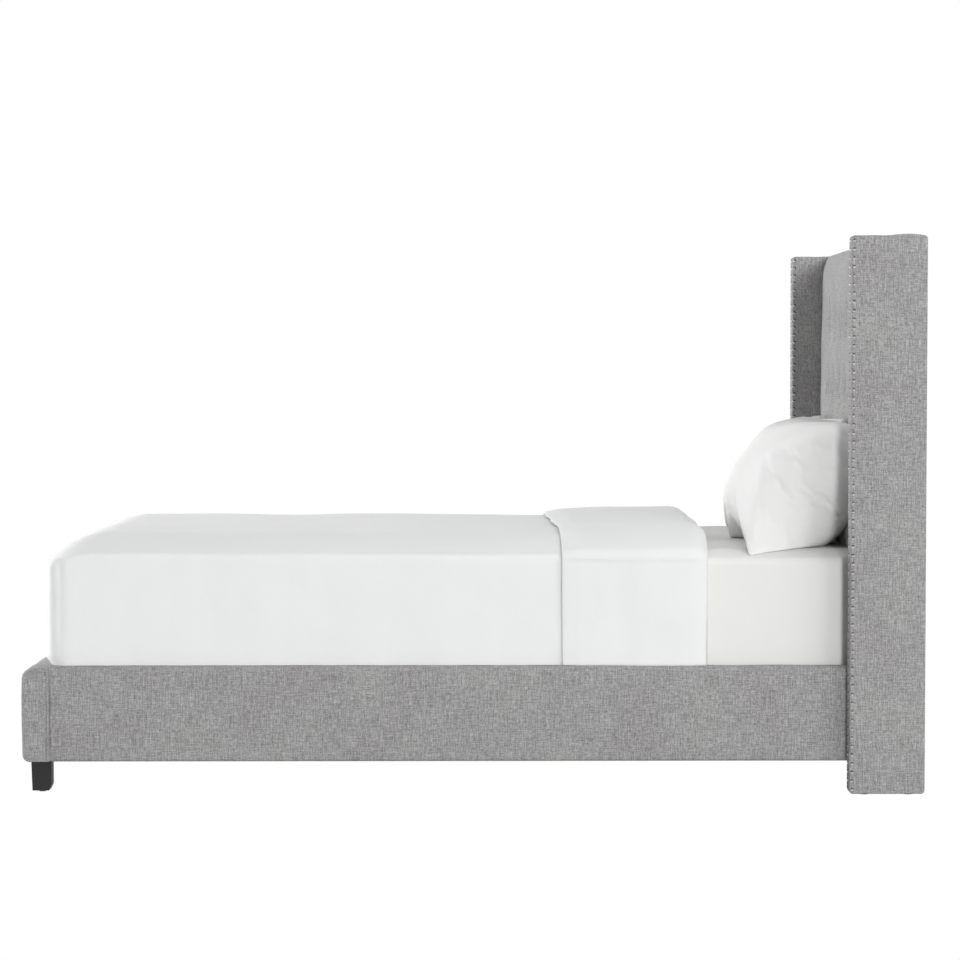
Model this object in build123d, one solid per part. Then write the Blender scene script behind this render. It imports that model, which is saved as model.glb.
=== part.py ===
from build123d import *
import os
from math import cos, radians, sin

# Wingback bed, in millimetres. The head of the bed is at +X, up is +Z, and the origin is on the floor
# under the middle of the bed. "Right" is the -Y side: the right hand of someone at the foot, facing the head.

# The mattress, which the frame is made to fit, and the frame's room round it
mattress_length = 2032.0
mattress_width = 1524.0
mattress_height = 333.0
mattress_foot_gap = 15.0
mattress_head_gap = 58.5
mattress_side_gap = 10.5
mattress_corner_radius = 60.0
mattress_edge_radius = 22.0

# Height of the headboard and its wings
overall_height = 1400.0

# Clearances, and how far a cutting shape passes the face it cuts
overrun = 5.0
soft_clearance = 0.5
seat_clearance = 0.3

# Cloth and padding
cover_thickness = 1.5

# Glides under the wings and the headboard's stiles
glide_height = 3.0
glide_radius = 12.0

# Wings
wing_thickness = 60.0
wing_depth = 190.0
wing_corner_radius = 9.0
wing_edge_radius = 3.0
wing_foam_thickness = 8.0
wing_core_radius = 2.0
wing_glide_inset = 40.0

# Nail heads down the wings' front edges
nail_radius = 4.5
nail_rise = 2.5
nail_pitch = 21.8
nail_from_edge = 7.0
nail_end_margin = 11.0

# Headboard panel between the wings
panel_depth = 97.5
panel_rail_gap = 8.0
panel_top_drop = 3.0
panel_top_radius = 45.0
panel_bottom_radius = 16.0
panel_top_foam = 12.0
panel_foam_thickness = 42.0
face_board_thickness = 12.0
back_panel_thickness = 3.5
back_panel_margin = 10.0

# Tufts in the panel
tuft_columns = 9
tuft_rows = 4
tuft_column_spacing = 153.0
tuft_row_spacing = 193.0
tuft_top_margin = 195.0
tuft_depth = 18.0
tuft_radius = 45.0
button_radius = 14.0
button_height = 8.0
button_edge_radius = 5.0

# Headboard frame
stile_width = 88.5
top_rail_height = 90.0
middle_rail_height = 90.0
middle_rail_centre_height = 850.0
bottom_rail_height = 236.0

# Side rails
rail_wing_gap = 2.5
rail_thickness = 40.0
rail_above_slats = 45.0
rail_top_radius = 14.0
rail_bottom_radius = 8.0
rail_inner_radius = 3.0
rail_board_thickness = 24.0
rail_top_foam = 6.0
rail_bottom_foam = 3.0

# Footboard
footboard_thickness = 68.0
footboard_overhang = 7.5
footboard_top_drop = 4.0
footboard_board_thickness = 25.0
footboard_inner_foam = 12.0
footboard_top_foam = 12.0
footboard_end_foam = 5.0
footboard_outer_top_radius = 24.0
footboard_outer_bottom_radius = 18.0
footboard_inner_radius = 8.0
welt_radius = 3.0
welt_inset = 5.0

# Feet
foot_height = 80.0
foot_width = 51.0
foot_inset_from_end = 35.0
foot_inset_from_front = 17.5
foot_taper = 2.5
foot_chamfer_length = 6.5
foot_chamfer_height = 14.0
foot_edge_radius = 2.0
foot_glide_height = 4.0
foot_glide_radius = 9.0

# Slat ledgers, centre beam and legs
slat_top_height = 275.0
slat_thickness = 18.0
slat_width = 70.0
slat_count = 13
slat_end_gap = 3.0
slat_end_margin = 30.0
ledger_thickness = 25.0
ledger_height = 40.0
webbing_width = 20.0
webbing_thickness = 1.2
webbing_from_middle = 380.0
beam_width = 40.0
beam_height = 60.0
beam_bracket_thickness = 3.0
beam_bracket_grip = 50.0
leg_width = 45.0
leg_place_share = 0.36
leveller_height = 18.0
leveller_pad_radius = 19.0
leveller_pad_height = 8.0
leveller_stud_radius = 4.0
leveller_stud_length = 34.0
leveller_running_gap = 0.05
leg_insert_radius = 6.5
leg_insert_length = 20.0
leveller_bore_depth = 45.0

# Rail brackets
bracket_leg = 60.0
bracket_thickness = 3.0
bracket_rail_margin = 20.0
bracket_ledger_gap = 17.0
bracket_bolt_margin = 20.0

# Fasteners
bolt_radius = 4.0
bolt_head_radius = 6.5
bolt_head_height = 5.0
bracket_bolt_grip_into_wood = 24.0
insert_radius = 6.0
insert_length = 18.0
wood_screw_radius = 2.2
wood_screw_head_radius = 4.5
wood_screw_head_height = 2.2
wood_screw_length = 18.0
slat_screw_length = 34.0
wing_bolt_grip_in_core = 26.0
wing_bolt_gap_shares = (0.15, 0.85)
hanger_bolt_radius = 4.0
hanger_bolt_length = 80.0

# Bedding
sheet_thickness = 3.0
duvet_head_end = 595.0
duvet_top_thickness = 28.0
duvet_side_thickness = 18.0
duvet_foot_thickness = 26.0
duvet_corner_radius = 100.0
duvet_edge_radius = 58.0
top_sheet_start = 228.0
top_sheet_thickness = 12.0
top_sheet_edge_radius = 66.0

# Pillows
pillow_chord = 450.0
pillow_thickness = 226.0
pillow_seam_thickness = 6.0
pillow_lean = 46.0
pillow_gap_between = 50.0
pillow_right_margin = 12.0
pillow_left_margin = 62.0
pillow_panel_gap = 8.0
pillow_station_shares = (-1.0, -0.9, -0.62, 0.0, 0.62, 0.9, 1.0)
pillow_thickness_shares = (0.06, 0.45, 0.86, 1.0, 0.86, 0.45, 0.06)
pillow_chord_shares = (1.0, 0.985, 0.965, 0.96, 0.965, 0.985, 1.0)

# Places worked out from the sizes above
room_length = mattress_foot_gap + mattress_length + mattress_head_gap
half_length = (footboard_thickness + room_length + panel_depth) / 2
half_width = mattress_width / 2 + mattress_side_gap + rail_thickness + rail_wing_gap + wing_thickness
wing_inner_side = half_width - wing_thickness
wing_front = half_length - wing_depth
panel_front = half_length - panel_depth
panel_top = overall_height - panel_top_drop
panel_half_width = wing_inner_side
frame_back = half_length - back_panel_thickness
frame_front = panel_front + cover_thickness + panel_foam_thickness + face_board_thickness
frame_half_width = panel_half_width - cover_thickness
frame_top = panel_top - cover_thickness - panel_top_foam
face_board_front = frame_front - face_board_thickness
middle_rail_bottom = middle_rail_centre_height - middle_rail_height / 2
stile_inner_side = frame_half_width - stile_width
rail_outer_side = wing_inner_side - rail_wing_gap
rail_inner_side = rail_outer_side - rail_thickness
rail_bottom = foot_height
rail_top = slat_top_height + rail_above_slats
panel_bottom = rail_top + panel_rail_gap
footboard_inner_face = footboard_thickness - half_length
footboard_height = rail_top - footboard_top_drop - rail_bottom
footboard_length = 2 * (rail_outer_side + footboard_overhang)
slat_bottom_height = slat_top_height - slat_thickness
ledger_inner_side = rail_inner_side - ledger_thickness
ledger_bottom_height = slat_bottom_height - ledger_height
bracket_bottom_height = rail_bottom + bracket_rail_margin
bracket_height = ledger_bottom_height - bracket_ledger_gap - bracket_bottom_height
bracket_bolt_spacing = bracket_height - 2 * bracket_bolt_margin
beam_bottom_height = slat_bottom_height - beam_height
mattress_foot_end = footboard_inner_face + mattress_foot_gap
mattress_head_end = mattress_foot_end + mattress_length
sheet_top_height = slat_top_height + mattress_height + sheet_thickness
bedding_bottom_height = rail_top + soft_clearance
pillow_length = (mattress_width - pillow_gap_between - pillow_right_margin - pillow_left_margin) / 2


def block(low, high):
    """Box from its low corner to its high corner."""
    size = [b - a for a, b in zip(low, high)]
    centre = [(a + b) / 2 for a, b in zip(low, high)]
    return Pos(*centre) * Box(*size)


def other_side(shape):
    """The same shape on the other side of the bed."""
    return mirror(shape, about=Plane.XZ)


def both_sides(shapes):
    """A list of shapes, and the same shapes on the other side of the bed."""
    return list(shapes) + [other_side(shape) for shape in shapes]


def rounded_outline(corners, radii):
    """Closed outline of straight sides, with its own radius at each corner."""
    return make_face(FilletPolyline(*corners, radius=radii, close=True))


def fastener(head_radius, head_height, shank_radius, shank_length):
    """Screw or bolt along Z: its head above the origin and its shank below."""
    head = Pos(0, 0, head_height / 2) * Cylinder(head_radius, head_height)
    shank = Pos(0, 0, -shank_length / 2) * Cylinder(shank_radius, shank_length)
    return head + shank


def cut(shape, tools):
    """The shape less a list of tools, as its solids."""
    return shape.cut(*[solid for tool in tools for solid in tool.solids()])


# Wings

def wing_form(inset, corner_radius, edge_radius):
    """The right wing's outer form, an upright board, drawn in by inset on every face."""
    low = glide_height + inset
    high = overall_height - inset
    corners = [
        (wing_front + inset, low),
        (half_length - inset, low),
        (half_length - inset, high),
        (wing_front + inset, high),
    ]
    outline = rounded_outline(corners, [corner_radius] * len(corners))
    form = extrude(Plane.XZ.offset(wing_inner_side + inset) * outline, amount=wing_thickness - 2 * inset)
    sides = form.edges().group_by(Axis.Y)
    return fillet(sides[0] + sides[-1], edge_radius)


def wing_cover_and_filling():
    """Cloth cover, foam and wooden core of the right wing, one inside the other."""
    outside = wing_form(0, wing_corner_radius, wing_edge_radius)
    inside_corner = wing_corner_radius - cover_thickness
    inside = wing_form(cover_thickness, inside_corner, wing_edge_radius - cover_thickness)
    core = wing_form(cover_thickness + wing_foam_thickness, wing_core_radius, wing_core_radius / 2)
    return outside - inside, inside - core, core


def wing_bolt_heights():
    """Heights of the wing's bolts, in the gaps between the headboard's rails."""
    gaps = [
        (rail_bottom + bottom_rail_height, middle_rail_bottom),
        (middle_rail_bottom + middle_rail_height, frame_top - top_rail_height),
    ]
    return [low + (high - low) * share for low, high in gaps for share in wing_bolt_gap_shares]


def wing_bolts():
    """Bolts through the right stile into the right wing's core."""
    reach = stile_width + cover_thickness + cover_thickness + wing_foam_thickness + wing_bolt_grip_in_core
    bolt = fastener(bolt_head_radius, bolt_head_height, bolt_radius, reach)
    middle = (frame_front + frame_back) / 2
    turned = Rot(-90, 0, 0) * bolt
    return [Pos(middle, -stile_inner_side, height) * turned for height in wing_bolt_heights()]


def nail_head():
    """Domed nail head on the XY plane: the cap of a ball."""
    ball_radius = (nail_radius ** 2 + nail_rise ** 2) / (2 * nail_rise)
    ball = Pos(0, 0, nail_rise - ball_radius) * Sphere(ball_radius)
    return ball & (Pos(0, 0, nail_rise / 2) * Cylinder(2 * nail_radius, nail_rise))


def wing_nails():
    """Three rows of nail heads on the right wing: on its outer face, its front edge and, above the side rail,
    its inner face."""
    head = nail_head()
    usable = overall_height - glide_height - 2 * nail_end_margin
    count = int(usable // nail_pitch) + 1
    first = glide_height + nail_end_margin + (usable - (count - 1) * nail_pitch) / 2
    behind = wing_front + nail_from_edge
    middle = (half_width + wing_inner_side) / 2
    nails = []
    for step in range(count):
        height = first + step * nail_pitch
        outer = Plane((behind, -half_width, height), z_dir=(0, -1, 0))
        inner = Plane((behind, -wing_inner_side, height), z_dir=(0, 1, 0))
        edge = Plane((wing_front, -middle, height), z_dir=(-1, 0, 0))
        places = [outer, edge]
        if height - nail_radius > rail_top:
            places.append(inner)
        nails += [place.location * head for place in places]
    return nails


def glides():
    """Nail-on glides under the right wing and the right stile."""
    glide = Pos(0, 0, glide_height / 2) * Cylinder(glide_radius, glide_height)
    wing_middle = (half_width + wing_inner_side) / 2
    stile_middle = (stile_inner_side + frame_half_width) / 2
    places = [
        (wing_front + wing_glide_inset, wing_middle),
        (half_length - wing_glide_inset, wing_middle),
        ((frame_front + frame_back) / 2, stile_middle),
    ]
    return [Pos(x, -y, 0) * glide for x, y in places]


# Headboard

def tuft_places():
    """Height and side of each tuft, on a straight grid centred on the bed."""
    first_side = -tuft_column_spacing * (tuft_columns - 1) / 2
    sides = [first_side + column * tuft_column_spacing for column in range(tuft_columns)]
    heights = [overall_height - tuft_top_margin - row * tuft_row_spacing for row in range(tuft_rows)]
    return [(side, height) for height in heights for side in sides]


def tuft_ball_radius():
    """Radius of the ball that leaves a dimple of the tuft's depth and radius."""
    return (tuft_radius ** 2 + tuft_depth ** 2) / (2 * tuft_depth)


def tuft_balls(inset):
    """Balls that cut the dimples, larger by inset."""
    centre = panel_front + tuft_depth - tuft_ball_radius()
    ball = Rot(0, -90, 0) * Sphere(tuft_ball_radius() + inset)
    return [Pos(centre, side, height) * ball for side, height in tuft_places()]


def panel_form(inset, back):
    """The padded panel's form, drawn in by inset: rounded along its front edges, dimpled in front."""
    corners = [
        (panel_front + inset, panel_bottom + inset),
        (back, panel_bottom + inset),
        (back, panel_top - inset),
        (panel_front + inset, panel_top - inset),
    ]
    radii = [panel_bottom_radius - inset, 0, 0, panel_top_radius - inset]
    half = panel_half_width - inset
    form = extrude(Plane.XZ.offset(-half) * rounded_outline(corners, radii), amount=2 * half)
    return cut(form, tuft_balls(inset))


def panel_cover_and_foam():
    """Cloth cover of the panel, open behind and round the frame's legs, and the foam under it."""
    cavity = panel_form(cover_thickness, frame_back + overrun)
    behind_foam = block(
        (face_board_front, -frame_half_width, panel_bottom - overrun),
        (frame_back + overrun, frame_half_width, frame_top),
    )
    cover = cut(panel_form(0, frame_back), [cavity, behind_foam])
    foam = (cavity - behind_foam) & block(
        (panel_front, -panel_half_width, panel_bottom),
        (frame_back, panel_half_width, panel_top),
    )
    return cover, foam


def headboard_buttons():
    """Covered buttons, each a low dome seated in its dimple."""
    ball_radius = tuft_ball_radius()
    centre = panel_front + tuft_depth - ball_radius
    blank = Cylinder(button_radius, button_height + overrun)
    blank = fillet(blank.edges().sort_by(Axis.Z)[0], button_edge_radius)
    lift = ball_radius - button_height + (button_height + overrun) / 2
    button = Rot(0, 90, 0) * ((Pos(0, 0, lift) * blank) & Sphere(ball_radius))
    return [Pos(centre, side, height) * button for side, height in tuft_places()]


def headboard_stile():
    """Right upright of the headboard's frame, from its glide to the top."""
    return block(
        (frame_front, -frame_half_width, glide_height),
        (frame_back, -stile_inner_side, frame_top),
    )


def headboard_rail(low, high):
    """Cross rail of the headboard's frame between the stiles."""
    return block((frame_front, -stile_inner_side, low), (frame_back, stile_inner_side, high))


def face_board():
    """Plywood that backs the foam and stiffens the frame."""
    return block(
        (face_board_front, -frame_half_width, panel_bottom + cover_thickness),
        (frame_front, frame_half_width, frame_top),
    )


def back_panel():
    """Thin board that closes the headboard's back."""
    half = panel_half_width - seat_clearance
    return block(
        (frame_back, -half, rail_bottom + back_panel_margin),
        (half_length, half, panel_top - cover_thickness),
    )


# Side rails

def rail_form(inset):
    """The right side rail's padded section, drawn in by inset and carried along the bed."""
    corners = [
        (-rail_outer_side + inset, rail_bottom + inset),
        (-rail_inner_side - inset, rail_bottom + inset),
        (-rail_inner_side - inset, rail_top - inset),
        (-rail_outer_side + inset, rail_top - inset),
    ]
    radii = [rail_bottom_radius, rail_inner_radius, rail_inner_radius, rail_top_radius]
    outline = rounded_outline(corners, [radius - inset for radius in radii])
    return extrude(Plane.YZ.offset(footboard_inner_face) * outline, amount=frame_front - footboard_inner_face)


def side_rail():
    """Cover, foam and board of the right side rail."""
    outside = rail_form(0)
    inside = rail_form(cover_thickness)
    board = block(
        (
            footboard_inner_face,
            -rail_inner_side - cover_thickness - rail_board_thickness,
            rail_bottom + cover_thickness + rail_bottom_foam,
        ),
        (frame_front, -rail_inner_side - cover_thickness, rail_top - cover_thickness - rail_top_foam),
    )
    return outside - inside, inside - board, board


def slat_ledger():
    """Batten along the inside of the right side rail that the slats rest on."""
    return block(
        (footboard_inner_face + bracket_thickness, -rail_inner_side, ledger_bottom_height),
        (frame_front - bracket_thickness, -ledger_inner_side, slat_bottom_height),
    )


def rail_bracket(end, direction):
    """Steel angle between the right side rail and an end of the bed. Direction points inwards."""
    low = bracket_bottom_height
    high = low + bracket_height
    along = sorted((end, end + direction * bracket_leg))
    across = sorted((end, end + direction * bracket_thickness))
    side = -rail_inner_side
    rail_leg = block((along[0], side, low), (along[1], side + bracket_thickness, high))
    end_leg = block((across[0], side, low), (across[1], side + bracket_leg, high))
    return rail_leg + end_leg


def bracket_hole_heights():
    """Heights of the two bolts or screws in a bracket's leg."""
    middle = bracket_bottom_height + bracket_height / 2
    return [middle - bracket_bolt_spacing / 2, middle + bracket_bolt_spacing / 2]


def end_padding(direction):
    """Cloth and foam between a bracket and the wood behind it: only the footboard's inner face has any."""
    return cover_thickness + footboard_inner_foam if direction > 0 else 0


def bracket_bolts(end, direction):
    """Bolts through a bracket's end leg into the inserts in the wood behind it."""
    reach = bracket_thickness + end_padding(direction) + bracket_bolt_grip_into_wood
    bolt = Rot(0, 90 * direction, 0) * fastener(bolt_head_radius, bolt_head_height, bolt_radius, reach)
    face = end + direction * bracket_thickness
    side = -rail_inner_side + bracket_leg / 2 + bracket_thickness / 2
    return [Pos(face, side, height) * bolt for height in bracket_hole_heights()]


def threaded_inserts(end, direction):
    """Threaded sleeves in the wood, round the bracket's bolts."""
    start = end - direction * end_padding(direction)
    side = -rail_inner_side + bracket_leg / 2 + bracket_thickness / 2
    sleeve = Cylinder(insert_radius, insert_length) - Cylinder(bolt_radius, insert_length)
    middle = start - direction * insert_length / 2
    return [Pos(middle, side, height) * Rot(0, 90, 0) * sleeve for height in bracket_hole_heights()]


def bracket_screws(end, direction):
    """Wood screws through a bracket's rail leg into the rail's board."""
    screw = fastener(wood_screw_head_radius, wood_screw_head_height, wood_screw_radius, wood_screw_length)
    turned = Rot(-90, 0, 0) * screw
    x = end + direction * (bracket_leg + bracket_thickness) / 2
    face = -rail_inner_side + bracket_thickness
    return [Pos(x, face, height) * turned for height in bracket_hole_heights()]


# Footboard and feet

def footboard_form(inset):
    """The footboard's padded section, drawn in by inset, and as long as the footboard."""
    outer = -half_length + inset
    inner = footboard_inner_face - inset
    low = rail_bottom + inset
    high = rail_bottom + footboard_height - inset
    corners = [(outer, low), (inner, low), (inner, high), (outer, high)]
    radii = [
        footboard_outer_bottom_radius,
        footboard_inner_radius,
        footboard_inner_radius,
        footboard_outer_top_radius,
    ]
    half = footboard_length / 2 - inset
    outline = rounded_outline(corners, [radius - inset for radius in radii])
    return extrude(Plane.XZ.offset(-half) * outline, amount=2 * half)


def footboard():
    """Cover, foam and board of the footboard."""
    inside = footboard_form(cover_thickness)
    board_inner = footboard_inner_face - cover_thickness - footboard_inner_foam
    half = footboard_length / 2 - cover_thickness - footboard_end_foam
    board = block(
        (board_inner - footboard_board_thickness, -half, rail_bottom + cover_thickness),
        (board_inner, half, rail_bottom + footboard_height - cover_thickness - footboard_top_foam),
    )
    return footboard_form(0) - inside, inside - board, board


def footboard_welt():
    """Piped cord round the footboard's right end face, half proud of it."""
    corners = [
        (-half_length + welt_inset, rail_bottom + welt_inset),
        (footboard_inner_face - welt_inset, rail_bottom + welt_inset),
        (footboard_inner_face - welt_inset, rail_bottom + footboard_height - welt_inset),
        (-half_length + welt_inset, rail_bottom + footboard_height - welt_inset),
    ]
    radii = [
        footboard_outer_bottom_radius - welt_inset,
        footboard_inner_radius - welt_inset,
        footboard_inner_radius - welt_inset,
        footboard_outer_top_radius - welt_inset,
    ]
    end = footboard_length / 2
    outer = offset(rounded_outline(corners, radii), welt_radius)
    inner = rounded_outline(corners, radii)
    ring = extrude(Plane.XZ.offset(end) * (outer - inner), amount=welt_radius)
    return fillet(ring.edges().group_by(Axis.Y)[0], welt_radius / 3)


def foot_centre():
    """Middle of the right foot, along and across the bed."""
    x = -half_length + foot_inset_from_front + foot_width / 2
    y = -footboard_length / 2 + foot_inset_from_end + foot_width / 2
    return x, y


def foot():
    """Right foot: a square block, tapered outside and chamfered inside near the floor."""
    x, y = foot_centre()
    half = foot_width / 2
    low = foot_glide_height
    corners = [
        (x - half + foot_taper, low),
        (x + half - foot_chamfer_length, low),
        (x + half, low + foot_chamfer_height),
        (x + half, foot_height),
        (x - half, foot_height),
    ]
    outline = rounded_outline(corners, [foot_edge_radius] * 3 + [0, 0])
    return extrude(Plane.XZ.offset(-y - half) * outline, amount=foot_width)


def foot_glide():
    """Plastic glide nailed under the right foot."""
    x, y = foot_centre()
    glide = Pos(x, y, foot_glide_height / 2) * Cylinder(foot_glide_radius, foot_glide_height)
    return fillet(glide.edges().sort_by(Axis.Z)[0], foot_glide_height / 4)


def hanger_bolt():
    """Double-ended bolt that fastens the right foot to the footboard."""
    x, y = foot_centre()
    board_inner = footboard_inner_face - cover_thickness - footboard_inner_foam
    bolt = Cylinder(hanger_bolt_radius, hanger_bolt_length)
    return Pos(board_inner - footboard_board_thickness / 2, y, foot_height) * bolt


# Slats and centre support

def slat_places():
    """Middle of each slat along the bed, evenly spaced from the footboard to the headboard's frame."""
    first = footboard_inner_face + slat_end_margin + slat_width / 2
    last = frame_front - slat_end_margin - slat_width / 2
    return [first + (last - first) * step / (slat_count - 1) for step in range(slat_count)]


def slats():
    """Wooden slats, each resting on both ledgers and the centre beam."""
    half = rail_inner_side - slat_end_gap
    slat = Pos(0, 0, slat_top_height - slat_thickness / 2) * Box(slat_width, 2 * half, slat_thickness)
    return [Pos(x, 0, 0) * slat for x in slat_places()]


def slat_webbing():
    """Tape stapled under the slats, which keeps them apart, on the right side."""
    places = slat_places()
    side = -webbing_from_middle
    return block(
        (places[0] - slat_width / 2, side - webbing_width / 2, slat_bottom_height - webbing_thickness),
        (places[-1] + slat_width / 2, side + webbing_width / 2, slat_bottom_height),
    )


def slat_screws():
    """Screws that hold the first and last slats down to the right ledger, heads sunk flush."""
    depth = slat_screw_length - wood_screw_head_height
    screw = fastener(wood_screw_head_radius, wood_screw_head_height, wood_screw_radius, depth)
    side = -(ledger_inner_side + rail_inner_side - slat_end_gap) / 2
    height = slat_top_height - wood_screw_head_height
    places = slat_places()
    return [Pos(x, side, height) * screw for x in (places[0], places[-1])]


def centre_beam():
    """Beam down the middle of the bed under the slats, held at both ends by its brackets."""
    return block(
        (footboard_inner_face + beam_bracket_thickness, -beam_width / 2, beam_bottom_height),
        (frame_front - beam_bracket_thickness, beam_width / 2, slat_bottom_height),
    )


def beam_bracket(end, direction):
    """Steel cup that carries one end of the centre beam: a back plate, a floor and two cheeks."""
    half = beam_width / 2
    thick = beam_bracket_thickness
    back_x = sorted((end, end + direction * thick))
    grip_x = sorted((end, end + direction * (thick + beam_bracket_grip)))
    outer = block(
        (grip_x[0], -half - thick, beam_bottom_height - thick),
        (grip_x[1], half + thick, slat_bottom_height - thick),
    )
    cavity_x = sorted((back_x[0] if direction < 0 else back_x[1], grip_x[0] if direction < 0 else grip_x[1]))
    cavity = block(
        (cavity_x[0], -half, beam_bottom_height),
        (cavity_x[1], half, slat_bottom_height),
    )
    return outer - cavity


def leg_places():
    """Places of the two centre legs along the bed."""
    reach = (frame_front - footboard_inner_face) / 2
    middle = (frame_front + footboard_inner_face) / 2
    return {
        "foot": middle - reach * leg_place_share,
        "head": middle + reach * leg_place_share,
    }


def leg_insert(x):
    """Threaded sleeve in a centre leg's lower end, which the leveller screws into."""
    sleeve = Cylinder(leg_insert_radius, leg_insert_length)
    sleeve -= Cylinder(leveller_stud_radius + leveller_running_gap, leg_insert_length)
    return Pos(x, 0, leveller_height + leg_insert_length / 2) * sleeve


def centre_leg(x):
    """Square leg under the centre beam, bored from below for its insert and the leveller's stud."""
    half = leg_width / 2
    post = block((x - half, -half, leveller_height), (x + half, half, beam_bottom_height))
    bore = Pos(x, 0, leveller_height + leveller_bore_depth / 2) * Cylinder(
        leveller_stud_radius + leveller_running_gap, leveller_bore_depth
    )
    seat = Pos(x, 0, leveller_height + leg_insert_length / 2) * Cylinder(leg_insert_radius, leg_insert_length)
    return post - bore - seat


def leveller(x):
    """Adjustable foot of a centre leg: a round pad on the floor with a stud up into the leg."""
    pad = Pos(x, 0, leveller_pad_height / 2) * Cylinder(leveller_pad_radius, leveller_pad_height)
    pad = fillet(pad.edges().sort_by(Axis.Z)[-1], leveller_pad_height / 4)
    stud = Pos(x, 0, leveller_pad_height + leveller_stud_length / 2) * Cylinder(
        leveller_stud_radius, leveller_stud_length
    )
    return pad + stud


# Bedding

def bedding_block(low, high, corner_radius, edge_radius):
    """Block with upright corners rounded in plan, and a rounded edge round its top."""
    form = block(low, high)
    form = fillet(form.edges().filter_by(Axis.Z), corner_radius)
    return fillet(form.faces().sort_by(Axis.Z)[-1].edges(), edge_radius)


def mattress():
    """Mattress on the slats, with rounded corners and edges."""
    form = bedding_block(
        (mattress_foot_end, -mattress_width / 2, slat_top_height),
        (mattress_head_end, mattress_width / 2, slat_top_height + mattress_height),
        mattress_corner_radius,
        mattress_edge_radius,
    )
    return fillet(form.faces().sort_by(Axis.Z)[0].edges(), mattress_edge_radius)


def sheeted_mattress(bottom):
    """The mattress's form with the fitted sheet on it, down to a height."""
    return bedding_block(
        (mattress_foot_end - sheet_thickness, -mattress_width / 2 - sheet_thickness, bottom),
        (mattress_head_end + sheet_thickness, mattress_width / 2 + sheet_thickness, sheet_top_height),
        mattress_corner_radius + sheet_thickness,
        mattress_edge_radius + sheet_thickness,
    )


def fitted_sheet():
    """Fitted sheet over the mattress's top and sides."""
    return sheeted_mattress(slat_top_height + mattress_edge_radius) - mattress()


def duvet_form(top_extra, side_extra, edge_radius, head_end):
    """Outside of the duvet, or of the sheet laid over it, open at the head end."""
    half = mattress_width / 2 + sheet_thickness + duvet_side_thickness + side_extra
    low = (
        mattress_foot_end - sheet_thickness - duvet_foot_thickness - side_extra,
        -half,
        bedding_bottom_height,
    )
    high = (
        head_end + duvet_corner_radius + duvet_edge_radius,
        half,
        sheet_top_height + duvet_top_thickness + top_extra,
    )
    form = bedding_block(low, high, duvet_corner_radius, edge_radius)
    return form & block((low[0], low[1], low[2]), (head_end, high[1], high[2]))


def duvet():
    """Duvet over the mattress from the footboard to the pillows."""
    return duvet_form(0, 0, duvet_edge_radius, duvet_head_end) - sheeted_mattress(slat_top_height)


def top_sheet():
    """Top sheet turned down over the duvet's head end, and tucked under it."""
    wrap = duvet_form(
        top_sheet_thickness, top_sheet_thickness, top_sheet_edge_radius, duvet_head_end + top_sheet_thickness
    )
    band = wrap - block(
        (-half_length, -half_width, 0),
        (top_sheet_start, half_width, overall_height),
    )
    return band - duvet_form(0, 0, duvet_edge_radius, duvet_head_end) - sheeted_mattress(slat_top_height)


def pillow(near_side):
    """Plump pillow leaning on the headboard: crowned, thin at its seam, its long sides drawn in."""
    chord_half = pillow_chord / 2
    lean = radians(pillow_lean)
    reach_back = chord_half * cos(lean)
    reach_up = chord_half * sin(lean)
    centre_x = panel_front - pillow_panel_gap - reach_back - pillow_seam_thickness
    end_thickness = pillow_seam_thickness * pillow_thickness_shares[0]
    centre_z = sheet_top_height + soft_clearance + reach_up + end_thickness
    sections = []
    shares = zip(pillow_station_shares, pillow_thickness_shares, pillow_chord_shares)
    for station, thickness_share, chord_share in shares:
        half = chord_half * chord_share
        rise = pillow_thickness * thickness_share / 2
        edge = pillow_seam_thickness / 2 * thickness_share
        upper = ThreePointArc((-half, edge), (0, rise), (half, edge))
        lower = ThreePointArc((half, -edge), (0, -rise), (-half, -edge))
        seams = [Line((half, edge), (half, -edge)), Line((-half, -edge), (-half, edge))]
        lens = make_face([upper, seams[0], lower, seams[1]])
        middle = near_side + pillow_length * (station + 1) / 2
        place = Plane((centre_x, middle, centre_z), x_dir=(cos(lean), 0, sin(lean)), z_dir=(0, 1, 0))
        sections.append(place * lens)
    return loft(sections)


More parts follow.
